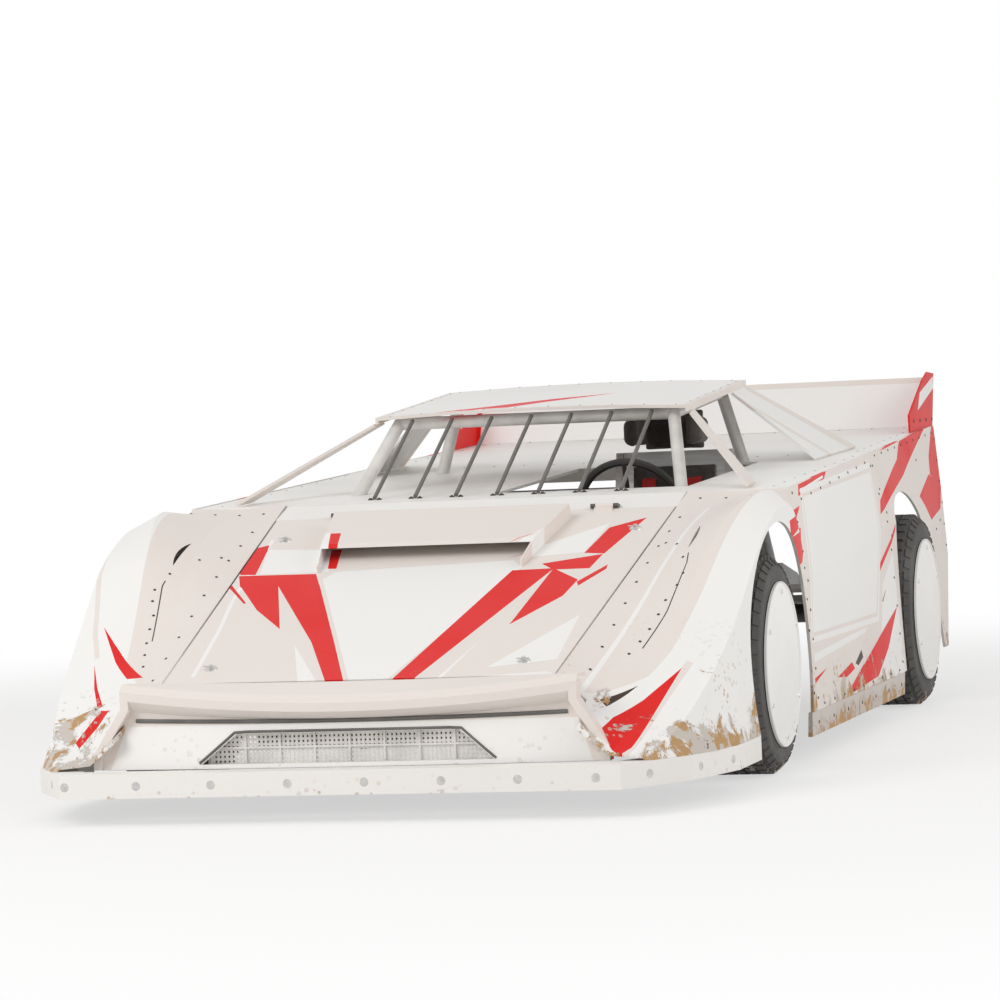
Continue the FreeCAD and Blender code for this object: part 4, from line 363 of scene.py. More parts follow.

# %% [markdown]
# ## The livery of the hood
# Race liveries are cut from flat vinyl, so every flash is a sharp polygon. On the hood they read in plan,
# so the corners are given in X and Y, in millimetres. The mask of a convex outline is the smallest of its
# distances to its edges, which needs only three math nodes an edge and stays sharp at any zoom.

# %% Hood paint
# Widths in millimetres: the pin lines, and the line of painted shade along each fender's crease.
PIN_LINE, CREASE_SHADE_WIDTH = 14, 4
HOOD_WHITE = [
    [(258, -1389), (324, -1276), (501, -1102), (474, -1355)],
    [(-594, -1458), (-634, -1239), (-369, -1262), (-362, -1456)],
    [(-359, -1522), (-334, -1458), (252, -1405), (295, -1469), (90, -2400), (-3, -2400)],
    [(-284, -2066), (-113, -2376), (-173, -2388)],
    [(264, -2406), (316, -2066), (259, -2343)],
    [(393, -2283), (588, -1886), (601, -2234)],
    [(399, -2346), (590, -2325), (640, -2357)],
] + band([(-645, -1150), (-636, -1407), (-612, -1696), (-578, -1925), (-540, -2300)], PIN_LINE)
HOOD_RED = [
    [(-722, -1306), (-720, -1249), (-641, -1195), (-634, -1250), (-592, -1463), (-660, -1460)],
    [(-662, -1468), (-397, -1471), (-354, -1574), (-626, -1568)],
    [(-631, -1552), (-499, -1557), (-375, -1932), (-504, -1768)],
    [(-498, -1563), (-355, -1569), (-159, -2052), (-235, -2047)],
    [(-235, -2047), (-159, -2052), (-19, -2404), (-68, -2401), (-99, -2350)],
    [(-693, -1524), (-679, -1518), (-561, -1705), (-566, -1712)],
    [(270, -1495), (407, -1488), (171, -2408), (107, -2404)],
    [(295, -1467), (542, -1377), (511, -1610), (407, -1500), (267, -1502)],
    [(405, -1488), (511, -1592), (494, -1725), (378, -1949)],
    [(511, -1610), (580, -1469), (583, -1508), (524, -1644)],
    [(476, -1363), (508, -1143), (616, -1063), (545, -1374)],
    [(218, -1394), (283, -1345), (320, -1307), (256, -1362)],
    [(-370, -1429), (-408, -1262), (-372, -1262), (-340, -1431)],
]
look = Finish("hood_paint", specular=SHEET_SHINE)
colour = layered(look, look.x, look.y, CREAM, [(WHITE, HOOD_WHITE), (RED, HOOD_RED)])
colour = look.mix(look.shown_side(sides=False), SHEET_BACK, colour)
hood_paint = dressed(look, colour, top=0.55, reach=0.9, amount=0.55)
print("hood:", len(HOOD_WHITE), "white and", len(HOOD_RED), "red patches")

# %% [markdown]
# ## The livery of the fenders
# The top of a fender faces up and its flank faces out, so one material needs both plans: X and Y for the
# cream top with its red flashes, and Y and Z for the flashes that run back from the wheel opening. The two
# fenders differ, and the sign of X tells them apart.

# %% Fender paint
FENDER_CREAM = [
    [(550, -800), (1060, -800), (1031, -1145), (981, -1589), (954, -1767), (907, -2018),
     (861, -2144), (788, -2240), (715, -2330), (550, -2420)],
    [(-550, -800), (-1040, -800), (-1000, -1261), (-958, -1488), (-933, -1649), (-912, -1772),
     (-864, -2000), (-800, -2120), (-700, -2300), (-550, -2420)],
] + band([(972, -2060), (915, -2270), (862, -2500)], 24) \
  + band([(-1105, -1500), (-1091, -1616), (-1052, -1748), (-1020, -1861), (-973, -1977)], 16)
FENDER_WHITE = band([(822, -1050), (797, -1520), (752, -1900), (700, -2341)], PIN_LINE)
FENDER_RED = [
    [(953, -2088), (800, -2359), (775, -2440), (850, -2500), (875, -2450)],
    [(-999, -1836), (-890, -1975), (-900, -2008)],
    [(-898, -1966), (-761, -2141), (-825, -2113), (-900, -2008)],
    [(-871, -2230), (-836, -2252), (-886, -2395), (-910, -2362)],
    [(-974, -2002), (-922, -2121), (-934, -2118)],
    [(-922, -2121), (-872, -2213), (-887, -2220), (-934, -2118)],
]
# Painted shade: thin dark lines along the rolled outer edge of each fender's top, and a sliver near the left
# one's front.
FENDER_CREASE_SHADE = [[(751, -2324), (840, -2197), (818, -2248), (774, -2336)]] \
    + band([(870, -1580), (877, -1640), (857, -1854), (818, -2031)], CREASE_SHADE_WIDTH) \
    + band([(-857, -1634), (-858, -1662), (-804, -1928)], CREASE_SHADE_WIDTH)
FLANK_CREAM = [[(-1000, 100), (-800, 100), (-800, 950), (-1020, 900)]]
FLANK_RED = [
    [(-1120, 800), (-706, 834), (-830, 785), (-1110, 742)],
    [(-1100, 745), (-760, 763), (-800, 715), (-1060, 680)],
    [(-1060, 683), (-800, 720), (-910, 655), (-1000, 645)],
]
FLANK_FROM = 1.0
look = Finish("fender_paint", specular=SHEET_SHINE)
top = layered(look, look.x, look.y, WHITE,
              [(CREAM, FENDER_CREAM), (WHITE, FENDER_WHITE), (DARK, FENDER_CREASE_SHADE), (RED, FENDER_RED)])
flank = layered(look, look.y, look.z, top, [(CREAM, FLANK_CREAM), (RED, FLANK_RED)])
colour = look.mix(look.math("GREATER_THAN", look.math("ABSOLUTE", look.x), FLANK_FROM), top, flank)
colour = look.mix(look.shown_side(), SHEET_BACK, colour)
fender_paint = dressed(look, colour, top=0.62, reach=0.55, amount=0.95)
print("fenders:", len(FENDER_CREAM), "cream and", len(FENDER_RED) + len(FLANK_RED), "red patches")

# %% [markdown]
# ## The livery of the sides
# Doors and quarter panels are one long canvas, seen straight from the side, so Y and Z place the patches. The
# number plate on the door is a white board with a cream pin line and stays blank.

# %% Side paint
PLATE = [(-648, 889), (800, 935), (411, 374), (-830, 382)]
HALF_PLATE = (600, 280)


def plate(margin):
    """The plate's outline moved towards its middle by a margin, for a border of even look."""
    middle = [sum(values) / len(PLATE) for values in zip(*PLATE)]
    return [tuple(m + (p - m) * (1 - margin / half) for p, m, half in zip(corner, middle, HALF_PLATE))
            for corner in PLATE]


SIDE_RED = FLANK_RED + [
    [(-700, 865), (-666, 903), (-90, 933), (-170, 905)],
    [(1580, 992), (2300, 1034), (1498, 862), (1433, 926)],
    [(1433, 926), (1498, 862), (714, 744), (789, 795)],
    [(1086, 968), (1350, 995), (1574, 993), (1233, 974)],
    [(2470, 1040), (2530, 1020), (2530, 780), (2234, 843), (2274, 914)],
    [(2530, 790), (2420, 700), (2094, 667), (1828, 771), (2200, 846)],
    [(526, 545), (546, 575), (990, 700), (960, 675)],
    [(813, 409), (547, 268), (307, 186), (43, 247), (465, 334)],
    [(307, 186), (-333, 162), (43, 247)],
    [(53, 313), (174, 354), (-152, 288), (-188, 292)],
    [(-433, 239), (-161, 271), (-117, 245), (-277, 227)],
    [(-860, 262), (-600, 285), (-840, 245)],
]
SIDE_WHITE_UNDER = [[(560, 500), (830, 600), (830, 160), (330, 160)]]
SIDE_WHITE_OVER = [
    band([(-660, 880), (-180, 914)], 9)[0],
    [(-800, 345), (174, 370), (140, 352), (-800, 318)],
    PLATE,
]
SIDE_DARK = [[(520, 440), (660, 500), (600, 470), (560, 425)],
             [(-100, 262), (30, 300), (50, 272), (-50, 250)]]
look = Finish("side_paint", specular=SHEET_SHINE)
colour = layered(look, look.y, look.z, CREAM,
                 [(WHITE, SIDE_WHITE_UNDER), (RED, SIDE_RED), (WHITE, SIDE_WHITE_OVER),
                  (CREAM, [plate(20)]), (WHITE, [plate(34)]), (DARK, SIDE_DARK)])
colour = look.mix(look.shown_side(), SHEET_BACK, colour)
side_paint = dressed(look, colour, top=0.50, reach=0.5, amount=0.92)
print("sides:", len(SIDE_RED), "red patches")

# %% [markdown]
# ## Nose, roof, spoiler and the plain panels
# The nose is moulded white plastic with a cream rim. The roof and the glass-less cabin's panels are white
# with cream borders. The spoiler's side boards are red with a white slash.

# %% Paint of the ends and the roof
BORDER = 30
BOARD_FROM, BLADE_RIM = 0.93, 1.208
NOSE_RIM = [[(0, 288), (1200, 288), (1200, 1000), (0, 1000)],
            [(695, 330), (775, 120), (1200, 120), (1200, 330)]]
NOSE_RED = [[(953, -2088), (815, -2345), (800, -2440), (870, -2530), (900, -2450)]]
ROOF_CREAM = band([(-560, -185), (560, -185)], 50) + band([(556, -200), (556, 800)], BORDER) \
    + band([(-556, -200), (-556, 800)], BORDER) + band([(-560, 765), (560, 765)], BORDER)
ROOF_RED = [[(-300, -150), (-100, -130), (194, 308), (30, 160)],
            [(-360, -160), (-220, -160), (-20, 20)]]
BOARD_WHITE = [[(2200, 1100), (2260, 1170), (2580, 1232), (2580, 1185)]]
SAIL_CREAM = band([(740, 1250), (1200, 940)], 70) + band([(500, 1200), (800, 940)], 35)

look = Finish("nose_plastic", specular=0.12)
colour = layered(look, look.math("ABSOLUTE", look.x), look.z, WHITE, [(CREAM, NOSE_RIM)])
colour = layered(look, look.x, look.y, colour, [(RED, NOSE_RED)])
nose_plastic = dressed(look, colour, top=0.34, reach=0.4, amount=0.62, gloss=0.38)

look = Finish("roof_paint", specular=SHEET_SHINE)
roof_paint = dressed(look, layered(look, look.x, look.y, WHITE, [(CREAM, ROOF_CREAM), (RED, ROOF_RED)]))

look = Finish("spoiler_paint", specular=SHEET_SHINE)
board = layered(look, look.y, look.z, RED, [(WHITE, BOARD_WHITE)])
blade = look.mix(look.math("GREATER_THAN", look.z, BLADE_RIM), WHITE, CREAM)
spoiler_paint = dressed(look, look.mix(look.math("GREATER_THAN", look.math("ABSOLUTE", look.x), BOARD_FROM),
                                       blade, board))

look = Finish("sail_paint", specular=SHEET_SHINE)
sail_paint = dressed(look, layered(look, look.y, look.z, WHITE, [(CREAM, SAIL_CREAM)]))
post_paint = dressed(Finish("post_paint", specular=SHEET_SHINE), CREAM)
deck_paint = dressed(Finish("deck_paint"), ink(246, 244, 241), film=0.12)
wear_strip = dressed(Finish("wear_strip"), ink(246, 243, 239),
                     top=0.165, reach=0.12, amount=0.5, gloss=0.5, film=0.05)
rocker_strip = dressed(Finish("rocker_strip"), PALE_MUD,
                       top=0.22, reach=0.14, amount=0.9, gloss=0.5, film=0.3)
print("paints ready:", len(bpy.data.materials), "materials")

# %% [markdown]
# ## Metals, rubber and the rest
# Under the panels the car is powder-coated tube, cast iron, bare aluminium and black plastic. Each gets its
# own wear: brushed streaks on aluminium, a pitted bump on castings, the orange peel of the frame's coat, and
# clay on whatever is close to the ground.

# %% Mechanical finishes
def toned(shade, gain):
    """A colour made lighter or darker."""
    return tuple(min(1, c * gain) for c in shade)


def coated(name, shade, gloss=0.45, top=0.45, amount=0.7):
    """Powder coat with a fine orange-peel bump, a little uneven in tone, with clay below a height."""
    look = Finish(name)
    fine = look.noise(180.0, 2.0)
    tint = look.mix(look.ramp(look.noise(9.0, 4.0), 0.3, 0.7), shade, toned(shade, 0.82))
    grain = look.times(fine, 0.1)
    if not top:
        look.bump(grain, 0.003)
        return look.done(tint, look.scaled(fine, 0.08, gloss - 0.04))
    colour, cover = soil(look, tint, top, 0.4, amount)
    look.bump(look.math("ADD", grain, cover), 0.003)
    return look.done(colour, look.scaled(cover, CLAY_ROUGHNESS - gloss, gloss))


def bare(name, shade, gloss, stretch=(4.0, 90.0, 90.0), top=0.0):
    """Bare brushed metal, with streaks along X unless it is stretched evenly."""
    look = Finish(name, metallic=0.85)
    streak = look.noise(1.0, 4.0, 0.6, stretch=stretch)
    colour = look.mix(look.ramp(streak, 0.3, 0.7), shade, toned(shade, 0.78))
    rough = look.scaled(streak, 0.25, gloss - 0.08)
    if top:
        colour, cover = soil(look, colour, top, 0.35, 0.7)
        rough = look.math("MAXIMUM", rough, look.times(cover, CLAY_ROUGHNESS))
    look.bump(streak, 0.0006)
    return look.done(colour, rough)


def cast(name, shade, gloss=0.6, metallic=0.4):
    """Cast metal: pitted, with patches of dark grease."""
    look = Finish(name, metallic)
    pits = look.noise(120.0, 4.0, 0.7)
    grease = look.ramp(look.noise(5.0, 4.0), 0.45, 0.7)
    look.bump(pits, 0.0015)
    return look.done(look.mix(grease, shade, toned(shade, 0.45)), look.scaled(grease, -0.2, gloss))


def rubbery(name, shade, gloss, top=0.0, fine=150.0):
    """Rubber or moulded plastic with a fine grain, dusty grey in cloudy patches."""
    look = Finish(name)
    grain = look.noise(fine, 3.0, 0.6)
    colour = look.mix(look.ramp(look.noise(7.0, 5.0), 0.4, 0.75), shade, toned(shade, 1.5))
    height = grain
    if top:
        colour, cover = soil(look, colour, top, 0.3, 0.75)
        height = look.math("ADD", grain, cover)
    look.bump(height, 0.001)
    return look.done(colour, look.scaled(grain, 0.15, gloss - 0.08))


frame_steel = coated("frame_steel", ink(112, 110, 107))
cage_steel = coated("cage_steel", ink(240, 237, 233), 0.4, top=0)
arm_steel = coated("arm_steel", ink(86, 82, 79), top=0.4)
bar_steel = coated("bar_steel", ink(108, 104, 100), 0.4, top=0)
guard_paint = coated("guard_paint", ink(247, 244, 240), top=0)
sheet_inside = coated("sheet_inside", ink(222, 218, 213), 0.5, top=0.3, amount=0.6)
dial_white = coated("dial_white", ink(236, 234, 230), 0.5, top=0)
iron = cast("iron", ink(92, 90, 88))
cast_alloy = cast("cast_alloy", ink(168, 168, 166), 0.45, 0.7)
alloy = bare("alloy", ink(196, 196, 194), 0.32)
wheel_alloy = bare("wheel_alloy", ink(205, 204, 200), 0.35, top=0.25)
bright = bare("bright", ink(214, 213, 210), 0.24, (60.0, 60.0, 60.0))
dark_bolt = bare("dark_bolt", ink(74, 66, 60), 0.42, (60.0, 60.0, 60.0))
tyre_rubber = rubbery("tyre_rubber", ink(84, 82, 80), 0.8, top=0.24)
# Grey rubber for the hoses; it also makes the dark strips of painted shade under the nose's lip and round the
# intake.
hose_rubber_and_shade_strips = rubbery("hose_rubber_and_shade_strips", ink(98, 96, 93), 0.6)
grip_rubber = rubbery("grip_rubber", ink(48, 45, 43), 0.65, fine=400.0)
# Black plastic; it also makes the discs of painted shade in the exhaust pipes' mouths.
black_plastic_and_pipe_shade = rubbery("black_plastic_and_pipe_shade", ink(44, 42, 41), 0.55, fine=300.0)
cover_plastic = dressed(Finish("cover_plastic"), ink(250, 249, 247),
                        top=0.27, reach=0.3, amount=0.7, gloss=0.34, film=0.12)

look = Finish("pipe_steel", metallic=0.8)
colour = look.mix(look.ramp(look.y, -1.1, -0.3), ink(150, 128, 104), ink(150, 149, 146))
look.bump(look.noise(90.0, 3.0), 0.001)
pipe_steel = look.done(look.mix(look.ramp(look.noise(6.0, 5.0), 0.45, 0.7), colour, ink(96, 82, 70)),
                       look.scaled(look.noise(14.0), 0.3, 0.3))
# Radiator core: the thin dark lines of its grid are painted shade in the gaps between the fins.
look = Finish("core_fins", metallic=0.5)
fins = look.times(look.ramp(look.comb(look.x, 260.0), 0.2, 0.5),
                  look.ramp(look.comb(look.z, 90.0), 0.15, 0.3))
look.bump(fins, 0.002)
core_fins = look.done(look.mix(fins, ink(40, 40, 41), ink(138, 139, 140)), 0.5)
print("finishes:", len(bpy.data.materials))

# %% [markdown]
# ## Finishes on the solids
# A node keeps its mesh, so only its material slot changes. The table goes from a finish to the starts of the
# names of the nodes that wear it, and the longest matching start wins.

# %% Put the finishes on
WORN_BY = (
    (hood_paint, "hood"), (fender_paint, "fenders"), (side_paint, "doors quarters"), (roof_paint, "roof"),
    (post_paint, "windscreen_posts"), (sail_paint, "sail_panels"), (spoiler_paint, "spoiler"),
    (deck_paint, "cowl tail_panel rear_deck interior_deck"), (rocker_strip, "rockers"),
    (nose_plastic, "nose"), (wear_strip, "splitter"), (guard_paint, "intake_screen"),
    (frame_steel, "main_frame nose_bar"), (cage_steel, "roll_cage"), (sheet_inside, "cockpit_sheet dash"),
    (arm_steel, "hood_hinges suspension_arms"), (bar_steel, "windscreen_bars"), (pipe_steel, "exhaust"),
    (iron, "engine rear_axle knuckle"), (cast_alloy, "drive_shaft"), (alloy, "seat dampers pedals"),
    (core_fins, "radiator"), (black_plastic_and_pipe_shade, "headrest fuel_cell shifter"), (grip_rubber, "steering_wheel"),
    (tyre_rubber, "tyre"), (wheel_alloy, "wheel"), (cover_plastic, "mud_cover"),
)
FINISHES = {start: look for look, starts in WORN_BY for start in starts.split()}
for name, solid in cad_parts.items():
    start = max((key for key in FINISHES if name.startswith(key)), key=len)
    solid.data.materials.clear()
    solid.data.materials.append(FINISHES[start])
print("finished", len(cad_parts), "nodes")

# %% [markdown]
# ## Building pieces
# A piece starts as a bmesh, which is Blender's mesh for editing in code. One helper finishes it: normals are
# turned outwards, the mesh gets its finish and smooth shading with sharp corners, and the piece rides on the
# body that carries it. Another asks a solid where a ray meets it, so fasteners sit on the sheet.

# %% Helpers for pieces
MERGE_WITHIN = 0.00002
DOME = 0.62
LEFTWARDS, BACKWARDS, UPWARDS, INWARDS, DOWNWARDS = (1, 0, 0), (0, 1, 0), (0, 0, 1), (-1, 0, 0), (0, 0, -1)
SPIN_AXES = {"X": (LEFTWARDS, UPWARDS), "Y": (BACKWARDS, UPWARDS), "Z": (UPWARDS, BACKWARDS)}
trees = {}


def on_skin(node, start, way):
    """Where a ray meets a solid, and the direction that its surface faces there."""
    if node not in trees:
        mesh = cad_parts[node].data
        trees[node] = BVHTree.FromPolygons([v.co for v in mesh.vertices], [p.vertices for p in mesh.polygons])
    way = Vector(way).normalized()
    spot, normal, _, _ = trees[node].ray_cast(Vector(start), way)
    if spot is None:
        raise ValueError("no face of %s from %s" % (node, tuple(start)))
    return spot, (normal if normal.dot(way) < 0 else -normal)


def finish_piece(bm, name, look, body="chassis", sharp=35, merge=True):
    """Turn a bmesh into a piece that rides on a body."""
    if merge:
        bmesh.ops.remove_doubles(bm, verts=bm.verts, dist=MERGE_WITHIN)
    bmesh.ops.recalc_face_normals(bm, faces=bm.faces)
    mesh = bpy.data.meshes.new(name)
    bm.to_mesh(mesh)
    bm.free()
    for polygon in mesh.polygons:
        polygon.use_smooth = True
    mesh.set_sharp_from_angle(angle=math.radians(sharp))
    mesh.materials.append(look)
    piece = placed(name, mesh)
    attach(piece, body)
    return piece


def set_side(bm, sign):
    """Mirror what was built for the left side if it is for the right one."""
    bmesh.ops.scale(bm, vec=(sign, 1, 1), verts=bm.verts)


def around(count):
    """Angles evenly round a circle."""
    return [i * math.tau / count for i in range(count)]


def facing(spot, way):
    """The matrix that stands +Z along a direction at a spot."""
    return Matrix.Translation(Vector(spot)) @ Vector(way).to_track_quat("Z", "Y").to_matrix().to_4x4()


def boss(bm, spot, way, radius, height, top=None, sides=10):
    """A short round boss that stands on a spot."""
    lift = Matrix.Translation(Vector((0, 0, height / 2)))
    bmesh.ops.create_cone(bm, cap_ends=True, segments=sides, radius1=radius, radius2=top or radius * DOME,
                          depth=height, matrix=facing(spot, way) @ lift)


def edges_of(verts):
    """The edges at some corners, each once and in a steady order."""
    return list(dict.fromkeys(edge for vert in verts for edge in vert.link_edges))


def slab(bm, place, size):
    """A block of a size, put in place by a matrix."""
    return bmesh.ops.create_cube(bm, size=1.0, matrix=place @ Matrix.Diagonal((*size, 1)))["verts"]


def brick(bm, low, high, edge=0.0):
    """A block between two corners, with its edges rounded."""
    low, high = Vector(low), Vector(high)
    corners = slab(bm, Matrix.Translation((low + high) / 2), high - low)
    if edge:
        bmesh.ops.bevel(bm, geom=edges_of(corners), offset=edge, segments=2, affect="EDGES", profile=0.5,
                        material=-1)


def tube(bm, path, radius, sides=12):
    """A round bar along a few points, with a ring of corners at each point."""
    rings = []
    for i, spot in enumerate(path):
        runs = [(Vector(b) - Vector(a)).normalized() for a, b in zip(path, path[1:])]
        way = (runs[max(i - 1, 0)] + runs[min(i, len(runs) - 1)]).normalized()
        made = bmesh.ops.create_circle(bm, segments=sides, radius=radius, matrix=facing(spot, way))
        rings.append(edges_of(made["verts"]))
    for ring in (rings[0], rings[-1]):
        bmesh.ops.edgeloop_fill(bm, edges=ring)
    for near, far in zip(rings, rings[1:]):
        bmesh.ops.bridge_loops(bm, edges=near + far)


def spun(bm, profile, centre, axis="X", steps=64):
    """Spin a closed outline of (along, radius) about an axle through a point."""
    along, out = (Vector(way) for way in SPIN_AXES[axis])
    ring = [bm.verts.new(Vector(centre) + along * a + out * r) for a, r in profile]
    edges = [bm.edges.new((a, b)) for a, b in zip(ring, ring[1:] + ring[:1])]
    bmesh.ops.spin(bm, geom=ring + edges, cent=Vector(centre), axis=along, dvec=(0, 0, 0),
                   angle=2 * math.pi, steps=steps, use_merge=True, use_duplicate=False)


print("helpers for pieces ready")

# %% [markdown]
# ## Tyres
# Dirt tyres have rings of square blocks with deep grooves, cut so that loose clay is thrown out. The carcass
# is one closed outline spun about the axle: beads, a bulging sidewall with a thin rib, and the base of the
# grooves. The blocks are cubes set round the crown, each ring turned half a pitch from the next, and a sloped
# ring of small ones stands on each shoulder.

# %% Tyres with block tread
# End of the car, Y, radius, outer face of the tyre, its width and its rings of blocks
AXLES = (("front", AXLE_Y, FRONT_RADIUS, 1.095, 0.290, 6), ("rear", REAR_Y, REAR_RADIUS, 1.105, 0.330, 7))
PITCHES = 44
BLOCK_DEEP, CLEARANCE = 0.020, 0.0011
GROOVE, CROSS_GROOVE = 0.009, 0.013
SHOULDER = 0.032
SHOULDER_LEAN = math.radians(46)
TYRE_STEPS = 96


def tyre(side, sign, end, y, radius, face, width, columns):
    """One tyre, built for the left side and mirrored for the right."""
    bm = bmesh.new()
    inside = face - width
    half = [(0.016, 0.2055), (0.006, 0.226), (0.003, 0.262), (0.0015, 0.272), (0.0015, 0.277),
            (0.004, 0.281), (0.003, radius - 0.052), (0.008, radius - 0.034), (0.022, radius - 0.018),
            (0.045, radius - 0.010)]
    profile = [(inside + a, r) for a, r in half] + [(face - a, r) for a, r in half[::-1]]
    spun(bm, profile, (0, y, radius), steps=TYRE_STEPS)
    wide = (width - 2 * SHOULDER) / columns
    long = 2 * math.pi * radius / PITCHES - CROSS_GROOVE
    blocks = [(inside + SHOULDER + wide * (column - 0.5), radius - BLOCK_DEEP / 2 - CLEARANCE, 0.0,
               (wide - GROOVE, long, BLOCK_DEEP)) for column in range(columns + 2)]
    for column, at, lean in ((0, inside + 0.0175, -SHOULDER_LEAN), (-1, face - 0.0175, SHOULDER_LEAN)):
        blocks[column] = (at, radius - 0.0245, lean, (0.027, long * 0.8, 0.010))
    for pitch in range(PITCHES):
        for column, (at, out, lean, size) in enumerate(blocks):
            turn = Matrix.Rotation((pitch + 0.5 * (column % 2)) * 2 * math.pi / PITCHES, 4, "X")
            slab(bm, Matrix.Translation((0, y, radius)) @ turn @ Matrix.Translation((at, 0, out))
                 @ Matrix.Rotation(lean, 4, "Y"), size)
    set_side(bm, sign)
    corner = end + "_" + side
    piece = finish_piece(bm, "tread_" + corner, tyre_rubber, "wheel_" + corner, sharp=28, merge=False)
    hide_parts("tyre_" + corner)


for side, sign in SIDES:
    for axle in AXLES:
        tyre(side, sign, *axle)

# %% [markdown]
# ## Wheel covers
# The plastic mud cover is held by turn fasteners and has a raised ring near its rim. The ring is a thin
# outline spun about the axle, and each fastener is a low boss with a smaller one on it.

# %% Cover rings and fasteners
COVER_PROUD = 0.0003
RING = [(0.0005, 0.258), (0.008, 0.259), (0.0105, 0.2615), (0.008, 0.264), (0.0005, 0.2645)]
FASTENER_CIRCLE = 0.232
for end, y, radius, tyre_face, _, _ in AXLES:
    face = tyre_face + COVER_PROUD
    starts = [(1.3, y + FASTENER_CIRCLE * math.sin(angle), radius + FASTENER_CIRCLE * math.cos(angle))
              for angle in around(6)]
    seats = [on_skin("mud_cover_" + end + "_left", start, INWARDS) for start in starts]
    for side, sign in SIDES:
        corner = end + "_" + side
        bm = bmesh.new()
        spun(bm, [(face + out, r) for out, r in RING], (0, y, radius), steps=TYRE_STEPS)
        for spot, normal in seats:
            boss(bm, spot, normal, 0.012, 0.004, 0.0095, 16)
            boss(bm, spot + normal * 0.004, normal, 0.005, 0.0025, 0.004, 6)
        set_side(bm, sign)
        finish_piece(bm, "cover_rim_" + corner, cover_plastic, "wheel_" + corner)
        bm = bmesh.new()
        for spot, normal in seats:
            boss(bm, spot + normal * 0.004, normal, 0.0075, 0.002, 0.0065, 12)
        set_side(bm, sign)
        finish_piece(bm, "cover_bolts_" + corner, bright, "wheel_" + corner)
print("covers dressed")

# %% [markdown]
# ## Dampers with springs
# The plain solid of each damper stands for a body, a rod and a coil spring. The spring is a small circle
# swept by a spin that also moves along the damper at each step, which gives a true helix.

# %% Dampers
SPRING_RADIUS, WIRE_RADIUS, SEAT_RADIUS = 0.0395, 0.0058, 0.0455
TURNS, TURN_STEPS = 7, 14
SPRING_FROM, SPRING_TO = 0.2, 0.83


def damper(bm, low, high, sign):
    """A damper between two places, with a spring between its two seats."""
    low, high = (Vector((sign * x, y, z)) for x, y, z in (low, high))
    way = (high - low).normalized()
    length = (high - low).length
    tube(bm, [low + way * 0.014, high - way * 0.024], 0.011)
    tube(bm, [low + way * 0.05, low + way * (length * 0.55)], 0.026, 20)
    for share in (SPRING_FROM, SPRING_TO):
        boss(bm, low + way * (length * share), way, SEAT_RADIUS, 0.010, SEAT_RADIUS, 24)
    start = low + way * (length * SPRING_FROM + 0.013)
    span = length * (SPRING_TO - SPRING_FROM) - 0.016
    steps = TURNS * TURN_STEPS
    out = way.orthogonal().normalized()
    wire = bmesh.ops.create_circle(bm, segments=8, radius=WIRE_RADIUS,
                                   matrix=facing(start + out * SPRING_RADIUS, way.cross(out)))["verts"]
    bmesh.ops.spin(bm, geom=wire + edges_of(wire), cent=start, axis=way, dvec=way * (span / steps),
                   angle=TURNS * math.tau, steps=steps, use_merge=False, use_duplicate=False)


bm = bmesh.new()
for _, sign in SIDES:
    damper(bm, (0.5985, AXLE_Y, 0.2181), (0.4758, AXLE_Y, 0.6495), sign)
    damper(bm, (0.380, REAR_Y, 0.3985), (0.380, 1.220, 0.637), sign)
bmesh.ops.holes_fill(bm, edges=[e for e in bm.edges if e.is_boundary], sides=12)
piece = finish_piece(bm, "springs_and_dampers", bright)
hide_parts("dampers")
print("damper triangles:", len(piece.data.polygons) * 2)

# %% [markdown]
# ## Rivets and screws
# Sheet metal is held by rows of rivets, dark on the sides and bare on the roof and the decks. Each is a low
# ten-sided boss, and its place is where a ray meets the sheet, so the row follows the panel's curve. Rays
# come from the side or from above. A row is two ends and a count, in Y and Z for the side and in X and Y for
# above, and a pair is one rivet.

